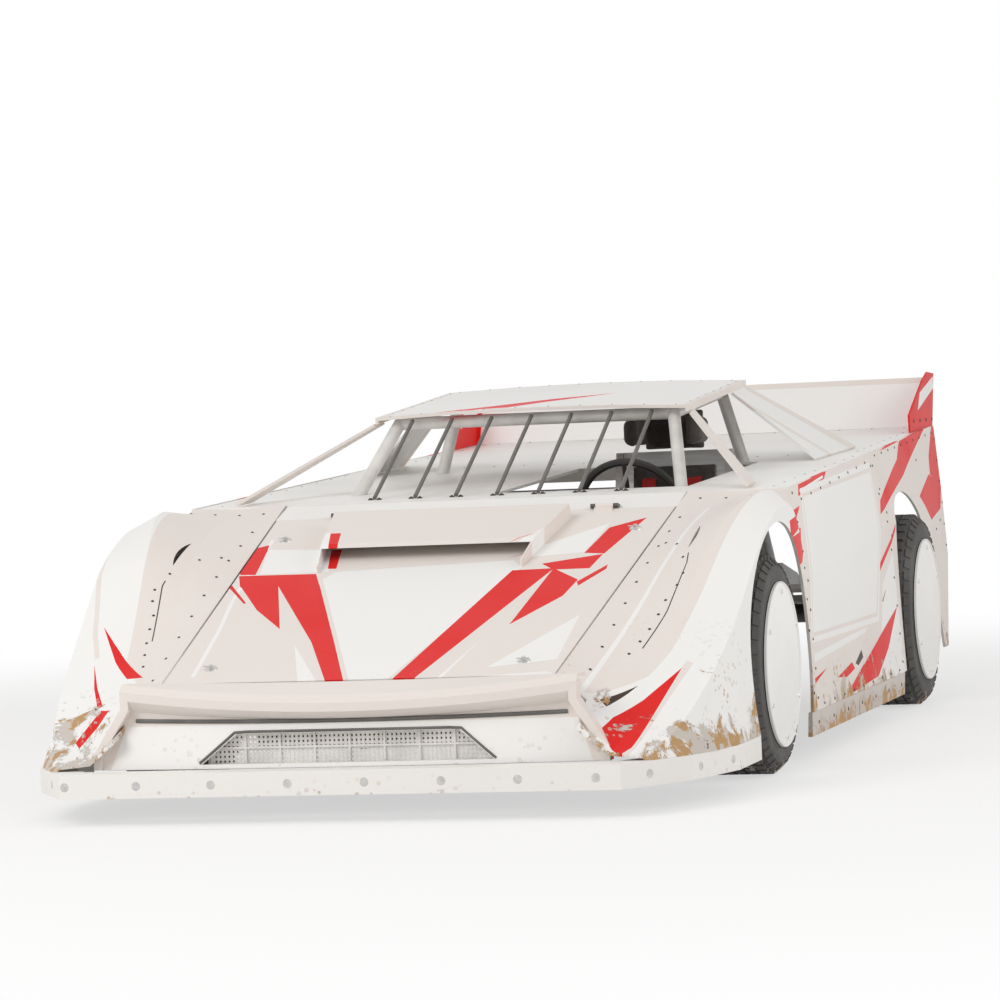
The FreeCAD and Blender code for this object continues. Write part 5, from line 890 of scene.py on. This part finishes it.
# %% Rows of rivets
BESIDE, ABOVE = 1.5, 1.5
SUNK = 0.0004
RIVET, LOW_BOLT, BOLT = (0.0055, 0.0028), (0.008, 0.002), (0.008, 0.003)
RIVETS = [
    ("door_rivets", "doors", INWARDS, dark_bolt, RIVET, [
        (-0.80, 0.20, -0.80, 0.88, 8), (0.80, 0.20, 0.80, 0.92, 8), (-0.70, 0.175, 0.72, 0.175, 9),
        (-0.66, 0.855, 0.70, 0.935, 8)]),
    ("quarter_rivets", "quarters", INWARDS, dark_bolt, RIVET, [
        (0.845, 0.66, 0.845, 0.92, 4), (0.95, 0.955, 2.42, 1.005, 10), (2.49, 0.55, 2.49, 0.98, 6),
        (1.909, 0.91), (2.368, 0.655), (2.215, 0.626)]),
    ("fender_rivets", "fenders", DOWNWARDS, dark_bolt, RIVET, [
        (0.855, -1.594), (0.875, -1.688), (0.866, -1.738), (0.842, -1.80), (0.833, -1.865), (0.820, -1.935),
        (0.804, -2.0), (0.751, -1.379), (0.803, -1.448), (0.785, -2.07), (0.735, -1.10, 0.70, -2.22, 9),
        (0.76, -0.90, 1.02, -0.90, 4)]),
    ("flank_rivets", "fenders", INWARDS, dark_bolt, RIVET, [(-0.86, 0.22, -0.86, 0.84, 7)]),
    ("rocker_bolts", "rockers", INWARDS, dark_bolt, LOW_BOLT, [(-0.80, 0.12, 0.74, 0.12, 7)]),
    ("roof_rivets", "roof", DOWNWARDS, alloy, RIVET, [
        (0.06, -0.165, 0.52, -0.165, 5), (0.545, -0.05, 0.545, 0.70, 7), (0.06, 0.75, 0.52, 0.75, 5)]),
    ("deck_rivets", "rear_deck", DOWNWARDS, alloy, RIVET, [
        (0.10, 0.92, 0.80, 0.92, 7), (0.93, 1.0, 0.90, 2.40, 10), (0.05, 2.44, 0.85, 2.44, 7)]),
    ("cabin_rivets", "interior_deck", DOWNWARDS, alloy, RIVET, [(0.97, -0.72, 0.97, 0.70, 9)]),
    ("board_bolts", "spoiler", INWARDS, dark_bolt, BOLT, [(2.10, 1.06, 2.52, 1.06, 4)]),
]


def ray_starts(rows, way):
    """Where rays along a way start, for rows and single places in the plane across it."""
    starts = []
    for row in rows:
        ends = [Vector((BESIDE, a, b)) if way == INWARDS else Vector((a, b, ABOVE))
                for a, b in (row[:2], row[2:4] or row[:2])]
        count = row[4] if len(row) > 4 else 1
        starts += [ends[0].lerp(ends[1], i / max(count - 1, 1)) for i in range(count)]
    return starts


total = 0
for name, node, way, look, size, rows in RIVETS:
    bm = bmesh.new()
    for start in ray_starts(rows, way):
        for _, sign in SIDES:
            flip = Vector((sign, 1, 1))
            try:
                spot, normal = on_skin(node, start * flip, Vector(way) * flip)
            except ValueError:
                continue
            boss(bm, spot - normal * SUNK, normal, *size)
            total += 1
    finish_piece(bm, name, look)
print("rivets:", total)

# %% [markdown]
# ## Splitter bolts, the painted shadow under the nose's lip, and hood pins
# The wear strip under the nose is held by large flush bolts. Under the lip of the nose runs a dark strip that
# is
# painted shade: it stands in for the shadow below the lip, which the eye reads as a black line. Four pins
# with a stainless plate each hold the hood down, and they ride on the hood.

# %% Front end fasteners
AHEAD = -3.0
STRIP_Z, STRIP_SIDE = 0.122, 1.6
bm = bmesh.new()
starts = [((x, AHEAD, STRIP_Z), BACKWARDS) for x in (-0.86, -0.63, -0.392, -0.15, 0.09, 0.328, 0.563, 0.80)]
starts += [((sign * STRIP_SIDE, y, STRIP_Z), (-sign, 0, 0))
           for y in (-2.50, -2.30, -2.09) for _, sign in SIDES]
for start, way in starts:
    spot, normal = on_skin("splitter", start, way)
    boss(bm, spot - normal * 0.0015, normal, 0.0145, 0.0018, 0.0135, 24)
finish_piece(bm, "splitter_bolts", bright)

bm = bmesh.new()
for x, y in ((0.50, -2.24), (-0.50, -2.24), (0.60, -1.16), (-0.60, -1.16)):
    spot, normal = on_skin("hood", (x, y, ABOVE), DOWNWARDS)
    boss(bm, spot, normal, 0.021, 0.002, 0.020, 24)
    boss(bm, spot + normal * 0.002, normal, 0.0065, 0.012, 0.0065, 12)
    along = normal.cross(Vector(BACKWARDS)).normalized()
    tube(bm, [spot + normal * 0.009 - along * 0.016, spot + normal * 0.009 + along * 0.024], 0.0018, 6)
finish_piece(bm, "hood_pins", bright, "hood")


def lay_shade_strip(name, starts, radius, lift):
    """A round dark strip of painted shade on the nose, on a line that rays from the front find."""
    bm = bmesh.new()
    path = []
    for x, z in starts:
        spot, normal = on_skin("nose", (x, AHEAD, z), BACKWARDS)
        path.append(spot + normal * lift)
    tube(bm, path, radius, 8)
    finish_piece(bm, name, hose_rubber_and_shade_strips, sharp=60)


# A dark strip under the nose's lip: painted shadow, standing in for the shade below the lip.
lay_shade_strip("nose_lip_shadow", [(x / 100, 0.296 + 0.010 * (x / 70) ** 2) for x in range(-68, 69, 8)], 0.0065, 0.0014)
print("front end dressed")

# %% [markdown]
# ## The engine bay
# The engine's block is one plain solid. Its visible parts are what a mechanic would name first: ribbed valve
# covers, the manifold with a round air cleaner, pulleys with a belt, and header pipes that gather into the
# exhaust. Bevelled blocks, outlines spun about an axis and bent tubes are enough for all of them.

# %% Engine
CLEANER = (0, -1.12, 0.703)
PULLEY_Y = -1.446
PULLEYS = ((0.0, 0.345, 0.072), (0.0, 0.500, 0.058), (-0.165, 0.585, 0.036))
BELT_LOOP = [(0.069, 0.345), (0.053, 0.505), (0.02, 0.556), (-0.155, 0.618), (-0.19, 0.600), (-0.196, 0.565),
             (-0.069, 0.345), (-0.048, 0.296), (0.0, 0.276), (0.048, 0.296)]
BELT_WIDTH = 0.010
PIPE_X, PIPE_Z = 0.76, 0.215

bm = bmesh.new()
for _, sign in SIDES:
    low, high = sorted((sign * 0.125, sign * 0.245))
    brick(bm, (low, -1.39, 0.668), (high, -0.87, 0.694), 0.006)
    for i in range(9):
        y = -1.355 + i * 0.056
        brick(bm, (low + 0.012, y - 0.006, 0.690), (high - 0.012, y + 0.006, 0.702), 0.002)
brick(bm, (-0.085, -1.34, 0.666), (0.085, -0.92, 0.688), 0.008)
brick(bm, (-0.05, -1.18, 0.684), (0.05, -1.06, 0.706), 0.004)
finish_piece(bm, "valve_covers", cast_alloy)

bm = bmesh.new()
spun(bm, [(0.0, 0.004), (0.0, 0.150), (0.004, 0.154), (0.026, 0.154), (0.030, 0.150), (0.032, 0.060),
          (0.034, 0.004)], CLEANER, "Z", 48)
boss(bm, (0, -1.12, 0.735), UPWARDS, 0.012, 0.008, 0.009, 6)
finish_piece(bm, "air_cleaner", alloy)

bm = bmesh.new()
for x, z, r in PULLEYS:
    spun(bm, [(0.004, 0.004), (0.004, r), (-0.004, r), (-0.007, r - 0.008), (-0.017, r - 0.008), (-0.020, r),
              (-0.026, r), (-0.026, r - 0.006), (-0.022, 0.024), (-0.030, 0.020), (-0.030, 0.004)],
         (x, PULLEY_Y, z), "Y", 40)
finish_piece(bm, "pulleys", alloy)

bm = bmesh.new()
inner = [bm.verts.new((x * 0.96, PULLEY_Y - 0.007, 0.42 + (z - 0.42) * 0.97)) for x, z in BELT_LOOP]
outer = [bm.verts.new((x, PULLEY_Y - 0.007, z)) for x, z in BELT_LOOP]
rings = [bm.edges.new((ring[i - 1], ring[i])) for ring in (inner, outer) for i in range(len(ring))]
faces = bmesh.ops.bridge_loops(bm, edges=rings)["faces"]
moved = bmesh.ops.extrude_face_region(bm, geom=faces)["geom"]
moved = [item for item in moved if isinstance(item, bmesh.types.BMVert)]
bmesh.ops.translate(bm, vec=(0, -BELT_WIDTH, 0), verts=moved)
finish_piece(bm, "fan_belt", grip_rubber)

bm = bmesh.new()
for _, sign in SIDES:
    for y in (-1.10, -1.03, -0.94, -0.885):
        tube(bm, [(sign * 0.268, y, 0.472), (sign * 0.305, y, 0.478),
                  (sign * 0.350, (y - 2 * 0.95) / 3, 0.462), (sign * 0.395, -0.905, 0.415)], 0.019)
    spun(bm, [(0.0, 0.0415), (0.0, 0.0475), (-0.004, 0.0495), (-0.008, 0.0475), (-0.009, 0.0415)],
         (sign * PIPE_X, -0.1285, PIPE_Z), "Y", 32)
finish_piece(bm, "header_pipes", pipe_steel)

# Thin dark discs just inside the exhaust pipes' mouths: painted shade for the hollow of each pipe.
bm = bmesh.new()
for _, sign in SIDES:
    boss(bm, (sign * PIPE_X, -0.1298, PIPE_Z), BACKWARDS, 0.038, 0.0012, 0.037, 28)
finish_piece(bm, "pipe_mouth_shade", black_plastic_and_pipe_shade)
print("engine dressed")

# %% [markdown]
# ## Cooling
# The radiator's core gets its fins from the finish. Its tanks, cap, fan and hoses are pieces. The hoses are
# smooth tubes that bend past a few points, as moulded hoses do.

# %% Radiator, fan and hoses
CORE_X, FAN_Z = 0.262, 0.322
BLADES = 6
BLADE_LEAN = math.radians(32)
HOSE_RADIUS = 0.019

bm = bmesh.new()
for _, sign in SIDES:
    low, high = sorted((sign * CORE_X, sign * 0.304))
    brick(bm, (low, -2.164, 0.212), (high, -2.096, 0.432), 0.008)
for low, high in ((0.424, 0.436), (0.210, 0.222)):
    brick(bm, (-CORE_X, -2.163, low), (CORE_X, -2.097, high), 0.004)
boss(bm, (-0.283, -2.13, 0.431), UPWARDS, 0.020, 0.012, 0.020, 20)
spun(bm, [(0.0, 0.098), (0.0, 0.104), (0.030, 0.104), (0.030, 0.098)], (0, -2.098, FAN_Z), "Y", 40)
finish_piece(bm, "radiator_tanks", alloy)

bm = bmesh.new()
boss(bm, (0, -2.094, FAN_Z), BACKWARDS, 0.026, 0.024, 0.022, 20)
for angle in around(BLADES):
    slab(bm, Matrix.Translation((0, -2.082, FAN_Z)) @ Matrix.Rotation(angle, 4, "Y")
         @ Matrix.Translation((0, 0, 0.058)) @ Matrix.Rotation(BLADE_LEAN, 4, "Z"), (0.034, 0.003, 0.070))
finish_piece(bm, "fan", black_plastic_and_pipe_shade)


def hose(name, path):
    """A smooth round hose near a few points."""
    line = bpy.data.curves.new(name + "_line", "CURVE")
    line.dimensions = "3D"
    line.bevel_depth = HOSE_RADIUS
    line.bevel_resolution = 4
    line.resolution_u = 8
    line.use_fill_caps = True
    spline = line.splines.new("NURBS")
    spline.points.add(len(path) - 1)
    for point, spot in zip(spline.points, path):
        point.co = (*spot, 1)
    spline.order_u = 4
    spline.use_endpoint_u = True
    carrier = bpy.data.objects.new(name + "_line", line)
    bm = bmesh.new()
    bm.from_mesh(bpy.data.meshes.new_from_object(carrier))
    bpy.data.objects.remove(carrier)
    finish_piece(bm, name, hose_rubber_and_shade_strips)


hose("upper_hose", [(0.20, -2.10, 0.405), (0.20, -2.00, 0.41), (0.16, -1.80, 0.48), (0.10, -1.58, 0.60),
                    (0.10, -1.44, 0.60)])
hose("lower_hose", [(-0.22, -2.10, 0.25), (-0.22, -2.02, 0.25), (-0.20, -1.86, 0.30), (-0.17, -1.60, 0.36),
                    (-0.17, -1.44, 0.36)])
print("cooling dressed")

# %% [markdown]
# ## Brakes, axle and fuel cell
# A brake caliper straddles the rotor without touching it: two pads' housings and a bridge outside the rotor.
# The front ones ride on the knuckles, so they steer but don't roll.

# %% Calipers, axle bolts and cell straps
def caliper(name, sign, rotor, middle, body, bracket):
    """A caliper over the top of a rotor, with the bracket that holds it, built for the left side."""
    bm = bmesh.new()
    y, z = middle
    for x0, x1, half, z0, z1 in ((rotor - 0.024, rotor - 0.006, 0.055, 0.098, 0.178),
                                 (rotor + 0.030, rotor + 0.048, 0.055, 0.098, 0.178),
                                 (rotor - 0.022, rotor + 0.046, 0.045, 0.165, 0.184),
                                 (bracket, rotor - 0.016, 0.018, 0.070, 0.122)):
        brick(bm, (x0, y - half, z + z0), (x1, y + half, z + z1), 0.004)
    set_side(bm, sign)
    finish_piece(bm, name, cast_alloy, body)


PAD_X = 0.79
AXLE_BOLTS = 0.09
CELL_Y, CELL_TOP, CELL_BOLTS = 1.91, 0.686, 0.064
for side, sign in SIDES:
    caliper("caliper_front_" + side, sign, 0.877, (AXLE_Y, FRONT_RADIUS), "knuckle_" + side, 0.800)
    caliper("caliper_rear_" + side, sign, 0.847, (REAR_Y, REAR_RADIUS), "chassis", PAD_X)

bm = bmesh.new()
for _, sign in SIDES:
    x = sign * PAD_X
    brick(bm, (x - 0.012, REAR_Y - 0.018, 0.380), (x + 0.012, REAR_Y + 0.018, 0.482), 0.003)
for angle in around(10):
    start = (AXLE_BOLTS * math.sin(angle), 2.2, REAR_RADIUS + AXLE_BOLTS * math.cos(angle))
    spot, normal = on_skin("rear_axle", start, (0, -1, 0))
    boss(bm, spot, normal, 0.009, 0.007, 0.008, 6)
finish_piece(bm, "axle_bolts", dark_bolt)

bm = bmesh.new()
for x in (-0.17, 0.17):
    for y0, z0, y1, z1 in ((1.664, 0.374, 1.669, 0.686), (2.151, 0.374, 2.156, 0.686),
                           (1.664, 0.6805, 2.156, 0.6855)):
        brick(bm, (x - 0.022, y0, z0), (x + 0.022, y1, z1), 0.001)
boss(bm, (0, CELL_Y, 0.680), UPWARDS, 0.075, 0.006, 0.073, 32)
boss(bm, (0.02, 1.93, CELL_TOP), UPWARDS, 0.030, 0.022, 0.028, 24)
for angle in around(12):
    spot = (CELL_BOLTS * math.sin(angle), CELL_Y + CELL_BOLTS * math.cos(angle), CELL_TOP)
    boss(bm, spot, UPWARDS, 0.005, 0.004, 0.0045, 6)
finish_piece(bm, "cell_straps", alloy)
print("running gear dressed")

# %% [markdown]
# ## Controls
# The dash has one large and three small dials and a row of toggle switches. A dial is a bezel spun about its
# axis, a dark face just below its rim, and thin raised strokes for the scale and the needle.

# %% Dash, steering wheel and pedals
DASH_FACE = -0.4693
DIALS = ((0.485, 0.765, 0.046), (0.115, 0.775, 0.029), (0.190, 0.775, 0.029), (0.265, 0.775, 0.029))
SWITCH_Z = 0.665
HUB = Vector((0.350, -0.190, 0.830))
COLUMN = Vector((0, -0.3403, -0.18)).normalized()
PEDAL_FACE = -0.515
bezels, faces, strokes = bmesh.new(), bmesh.new(), bmesh.new()


def stroke(x, z, proud, degrees, out, size):
    """A thin bar on a dial's face, turned about the dial's middle."""
    turn = Matrix.Translation((x, DASH_FACE + proud, z)) @ Matrix.Rotation(math.radians(degrees), 4, "Y")
    slab(strokes, turn @ Matrix.Translation((0, 0, out)), size)


for x, z, r in DIALS:
    spun(bezels, [(0.0, r - 0.004), (0.0, r), (0.008, r), (0.010, r - 0.002), (0.008, r - 0.004)],
         (x, DASH_FACE, z), "Y", 32)
    boss(faces, (x, DASH_FACE, z), BACKWARDS, r - 0.003, 0.004, r - 0.003, 32)
    for i in range(11):
        stroke(x, z, 0.0044, -130 + 26 * i, r * 0.76, (0.0016, 0.0008, r * 0.16))
    stroke(x, z, 0.0052, -70, r * 0.32, (0.002, 0.0008, r * 0.80))
for i in range(5):
    x = 0.10 + i * 0.034
    boss(bezels, (x, DASH_FACE, SWITCH_Z), BACKWARDS, 0.008, 0.005, 0.007, 6)
    tube(bezels, [(x, DASH_FACE + 0.004, SWITCH_Z), (x, DASH_FACE + 0.020, SWITCH_Z + 0.008)], 0.0026, 8)
brick(bezels, (0.085, DASH_FACE - 0.0002, 0.648), (0.252, DASH_FACE + 0.0012, 0.682))
finish_piece(bezels, "dial_bezels", bright)
finish_piece(faces, "dial_faces", black_plastic_and_pipe_shade)
finish_piece(strokes, "dial_strokes", dial_white, merge=False)

bm = bmesh.new()
boss(bm, HUB + COLUMN * 0.012, -COLUMN, 0.045, 0.020, 0.036, 28)
boss(bm, HUB + COLUMN * 0.050, -COLUMN, 0.032, 0.026, 0.032, 24)
across = COLUMN.cross(Vector(LEFTWARDS)).normalized()
for angle in around(6):
    out = Vector(LEFTWARDS) * math.cos(angle) + across * math.sin(angle)
    boss(bm, HUB - COLUMN * 0.006 + out * 0.028, -COLUMN, 0.0045, 0.004, 0.004, 6)
finish_piece(bm, "wheel_hub", alloy)

bm = bmesh.new()
for x in (0.275, 0.355, 0.435):
    for i in range(3):
        for j in range(4):
            spot = (x - 0.018 + 0.018 * i, PEDAL_FACE, 0.330 + 0.017 * j)
            boss(bm, spot, BACKWARDS, 0.005, 0.002, 0.004, 8)
finish_piece(bm, "pedal_grips", grip_rubber, merge=False)
print("controls dressed")

# %% [markdown]
# ## Padding and belts
# Padding in a race seat is foam under cloth: crowned, soft at its corners, and held against the shell. Each
# pad starts as a subdivided cube laid along the shell where rays find it, is remeshed into even cells, and is
# swollen a little by a cloth simulation with pressure, with every point held within a few millimetres.

# %% A pad that swells
look = Finish("seat_cloth")
weave = look.times(look.comb(look.x, 420.0), look.comb(look.math("ADD", look.z, look.y), 420.0))
feed(look.tree, look.shader, {"Sheen Weight": 0.35})
look.bump(weave, 0.0012)
tint = look.mix(look.ramp(look.noise(11.0, 5.0), 0.35, 0.7), ink(58, 52, 49), ink(86, 80, 76))
seat_cloth = look.done(look.mix(look.times(weave, 0.35), tint, ink(30, 27, 26)), 0.9)
CUTS = 15
CELL = 0.006
PRESSURE = 4.0
SETTLED = 20


def evaluated_mesh(piece):
    return bpy.data.meshes.new_from_object(piece.evaluated_get(bpy.context.evaluated_depsgraph_get()))


def swollen(piece, cap):
    """The piece's mesh after its cloth has settled under pressure, with no point moved further than a cap."""
    rest = [v.co.copy() for v in piece.data.vertices]
    cloth = piece.modifiers.new("stuffing", "CLOTH")
    cloth.settings.use_pressure = True
    cloth.settings.uniform_pressure_force = PRESSURE
    cloth.settings.effector_weights.gravity = 0.0
    for step in range(1, SETTLED + 1):
        scene.frame_set(step)
    mesh = evaluated_mesh(piece)
    scene.frame_set(1)
    piece.modifiers.clear()
    for before, vert in zip(rest, mesh.vertices):
        move = vert.co - before
        if move.length > cap:
            vert.co = before + move * (cap / move.length)
    return mesh


def padding(name, corners, cap, grooves=0):
    """A stuffed pad, laid out by a function from three shares, each from 0 to 1, to a place."""
    bm = bmesh.new()
    bmesh.ops.create_cube(bm, size=1.0)
    bmesh.ops.subdivide_edges(bm, edges=bm.edges, cuts=CUTS, use_grid_fill=True)
    for vert in bm.verts:
        u, v, w = (c + 0.5 for c in vert.co)
        crown = (1 - (2 * u - 1) ** 6) * (1 - (2 * v - 1) ** 6)
        groove = 1 - 0.28 * math.exp(-((u * grooves % 1 - 0.5) * 9) ** 2) if grooves else 1
        vert.co = corners(u, v, w * (0.35 + 0.65 * crown) * groove)
    bmesh.ops.recalc_face_normals(bm, faces=bm.faces)
    piece = placed(name, bpy.data.meshes.new(name))
    bm.to_mesh(piece.data)
    bm.free()
    even = piece.modifiers.new("even", "REMESH")
    even.mode = "VOXEL"
    even.voxel_size = CELL
    mesh = evaluated_mesh(piece)
    piece.modifiers.clear()
    piece.data = mesh
    piece.data = swollen(piece, cap)
    for polygon in piece.data.polygons:
        polygon.use_smooth = True
    piece.data.materials.append(seat_cloth)
    smooth = piece.modifiers.new("smooth", "SUBSURF")
    smooth.levels = smooth.render_levels = 1
    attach(piece, "chassis")


SEAT_X = 0.350
PAD_WIDTH = 0.31


def back_y(z):
    return on_skin("seat", (SEAT_X, -0.25, z), BACKWARDS)[0].y


def pan_z(y):
    return on_skin("seat", (SEAT_X, y, 0.75), DOWNWARDS)[0].z


back_line = [back_y(0.50 + 0.02 * i) for i in range(24)]
pan_line = [pan_z(0.06 + 0.02 * i) for i in range(17)]


def sample(line, share):
    """A value from a list of them, at a share of its length."""
    at = share * (len(line) - 1)
    i = min(int(at), len(line) - 2)
    return line[i] + (line[i + 1] - line[i]) * (at - i)


def on_back(u, v, w):
    return SEAT_X - PAD_WIDTH / 2 + PAD_WIDTH * u, sample(back_line, v) - 0.010 - 0.030 * w, 0.50 + 0.46 * v


def on_pan(u, v, w):
    return SEAT_X - PAD_WIDTH / 2 + PAD_WIDTH * u, 0.06 + 0.32 * v, sample(pan_line, v) + 0.008 + 0.034 * w


def on_rest(u, v, w):
    return 0.240 + 0.22 * u, 0.533 - 0.060 * w, 1.016 + 0.141 * v


def on_wing(from_x, depth):
    return lambda u, v, w: (from_x + depth * w, 0.291 + 0.186 * u, 1.036 + 0.098 * v)


padding("back_pad", on_back, 0.004, grooves=3)
padding("seat_pad", on_pan, 0.004, grooves=3)
padding("head_pad", on_rest, 0.006)
padding("head_wing_left", on_wing(0.446, 0.048), 0.005)
padding("head_wing_right", on_wing(0.254, -0.048), 0.005)
for name in ("head_pad", "head_wing_left", "head_wing_right"):
    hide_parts("headrest")
print("five pads")

# %% [markdown]
# ## The harness
# Webbing is flat and hardly stretches, so a belt is a ribbon through a few points, given a real thickness.
# Shoulder and lap belts meet in a round buckle.

# %% Belts and buckle
WEB_WIDTH, WEB_THICKNESS = 0.050, 0.0026
LAP = Vector((SEAT_X, 0.245, 0.520))
look = Finish("webbing")
ribs = look.comb(look.math("ADD", look.z, look.y), 700.0)
look.bump(ribs, 0.0008)
webbing = look.done(look.mix(look.times(ribs, 0.5), ink(196, 40, 38), ink(150, 26, 26)), 0.75)


def belt(bm, path, side):
    """A ribbon with its width along a direction."""
    side = Vector(side).normalized() * (WEB_WIDTH / 2)
    pairs = [(bm.verts.new(Vector(p) - side), bm.verts.new(Vector(p) + side)) for p in path]
    faces = [bm.faces.new((a, b, d, c)) for (a, b), (c, d) in zip(pairs, pairs[1:])]
    bm.normal_update()
    bmesh.ops.solidify(bm, geom=faces, thickness=WEB_THICKNESS)


bm = bmesh.new()
for _, sign in SIDES:
    shoulder = [(SEAT_X + sign * 0.085, back_y(z) - off, z)
                for z, off in ((0.925, 0.004), (0.905, 0.050), (0.86, 0.058), (0.76, 0.060), (0.66, 0.066),
                               (0.60, 0.085))]
    belt(bm, shoulder + [(SEAT_X + sign * 0.045, LAP.y + 0.03, LAP.z + 0.035),
                         (SEAT_X + sign * 0.02, LAP.y, LAP.z + 0.008)], LEFTWARDS)
    belt(bm, [(SEAT_X + sign * 0.186, 0.36, 0.46), (SEAT_X + sign * 0.150, 0.33, 0.50),
              (SEAT_X + sign * 0.10, 0.28, 0.52), (SEAT_X + sign * 0.02, LAP.y, LAP.z)], (0, -0.35, 1))
finish_piece(bm, "belts", webbing, merge=False)
bm = bmesh.new()
boss(bm, LAP + Vector((0, 0.004, 0)), (0, -0.9, 0.4), 0.034, 0.016, 0.030, 28)
boss(bm, LAP + Vector((0, -0.010, 0.006)), (0, -0.9, 0.4), 0.020, 0.005, 0.018, 6)
finish_piece(bm, "buckle", bright)
print("harness ready")

# %% [markdown]
# ## Small fittings of the cabin
# Each bar of the windscreen ends at the cowl between two screws with a washer. A ray from above finds the
# sheet that each stands on.

# %% Feet of the windscreen bars
BARS, FIRST_BAR, BAR_STEP = 7, -0.435, 0.145
FEET_Y, FEET_APART = -0.667, 0.030
bm = bmesh.new()
for i in range(BARS):
    for _, sign in SIDES[::-1]:
        x = FIRST_BAR + i * BAR_STEP + sign * FEET_APART / 2
        for node in ("cowl", "interior_deck"):
            try:
                spot, normal = on_skin(node, (x, FEET_Y, 1.15), DOWNWARDS)
            except ValueError:
                continue
            boss(bm, spot, normal, 0.010, 0.004, 0.009, 12)
            boss(bm, spot + normal * 0.004, normal, 0.005, 0.003, 0.0045, 6)
            break
finish_piece(bm, "bar_feet", dark_bolt, merge=False)
print("cabin dressed")

# %% [markdown]
# ## The cooling intake
# Behind the intake's bars stands a light stone guard with rows of square holes. A lattice of flat strips
# gives it with few faces. A dark strip of painted shade outlines the opening, where shade falls at its edge,
# on a line that rays from the front find.

# %% Stone guard and painted shade strip
GUARD_PITCH, GUARD_STRIP, GUARD_SHEET = 0.0140, 0.0086, 0.0012
low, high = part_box("intake_screen")
near, cross, far = (high[1] + 0.0006 + GUARD_SHEET * layer for layer in range(3))
columns, rows = (int((high[axis] - low[axis]) / GUARD_PITCH) for axis in (0, 2))
bm = bmesh.new()
for i in range(columns + 1):
    x = low[0] + (high[0] - low[0] - GUARD_STRIP) * i / columns
    brick(bm, (x, near, low[2]), (x + GUARD_STRIP, cross, high[2]))
for i in range(rows + 1):
    z = low[2] + (high[2] - low[2] - GUARD_STRIP) * i / rows
    brick(bm, (low[0], cross, z), (high[0], far, z + GUARD_STRIP))
finish_piece(bm, "stone_guard", guard_paint, merge=False)
outline = [(-0.466, 0.176), (-0.437, 0.199), (-0.397, 0.232), (-0.357, 0.2655)]
outline += [(x / 1000, 0.2675) for x in range(-320, 321, 80)] + [(-x, z) for x, z in outline[::-1]]
# A dark strip round the intake's opening: painted shade at the opening's edge.
lay_shade_strip("intake_edge_shade", outline, 0.0042, 0.00105)
print("intake dressed:", columns, "by", rows)
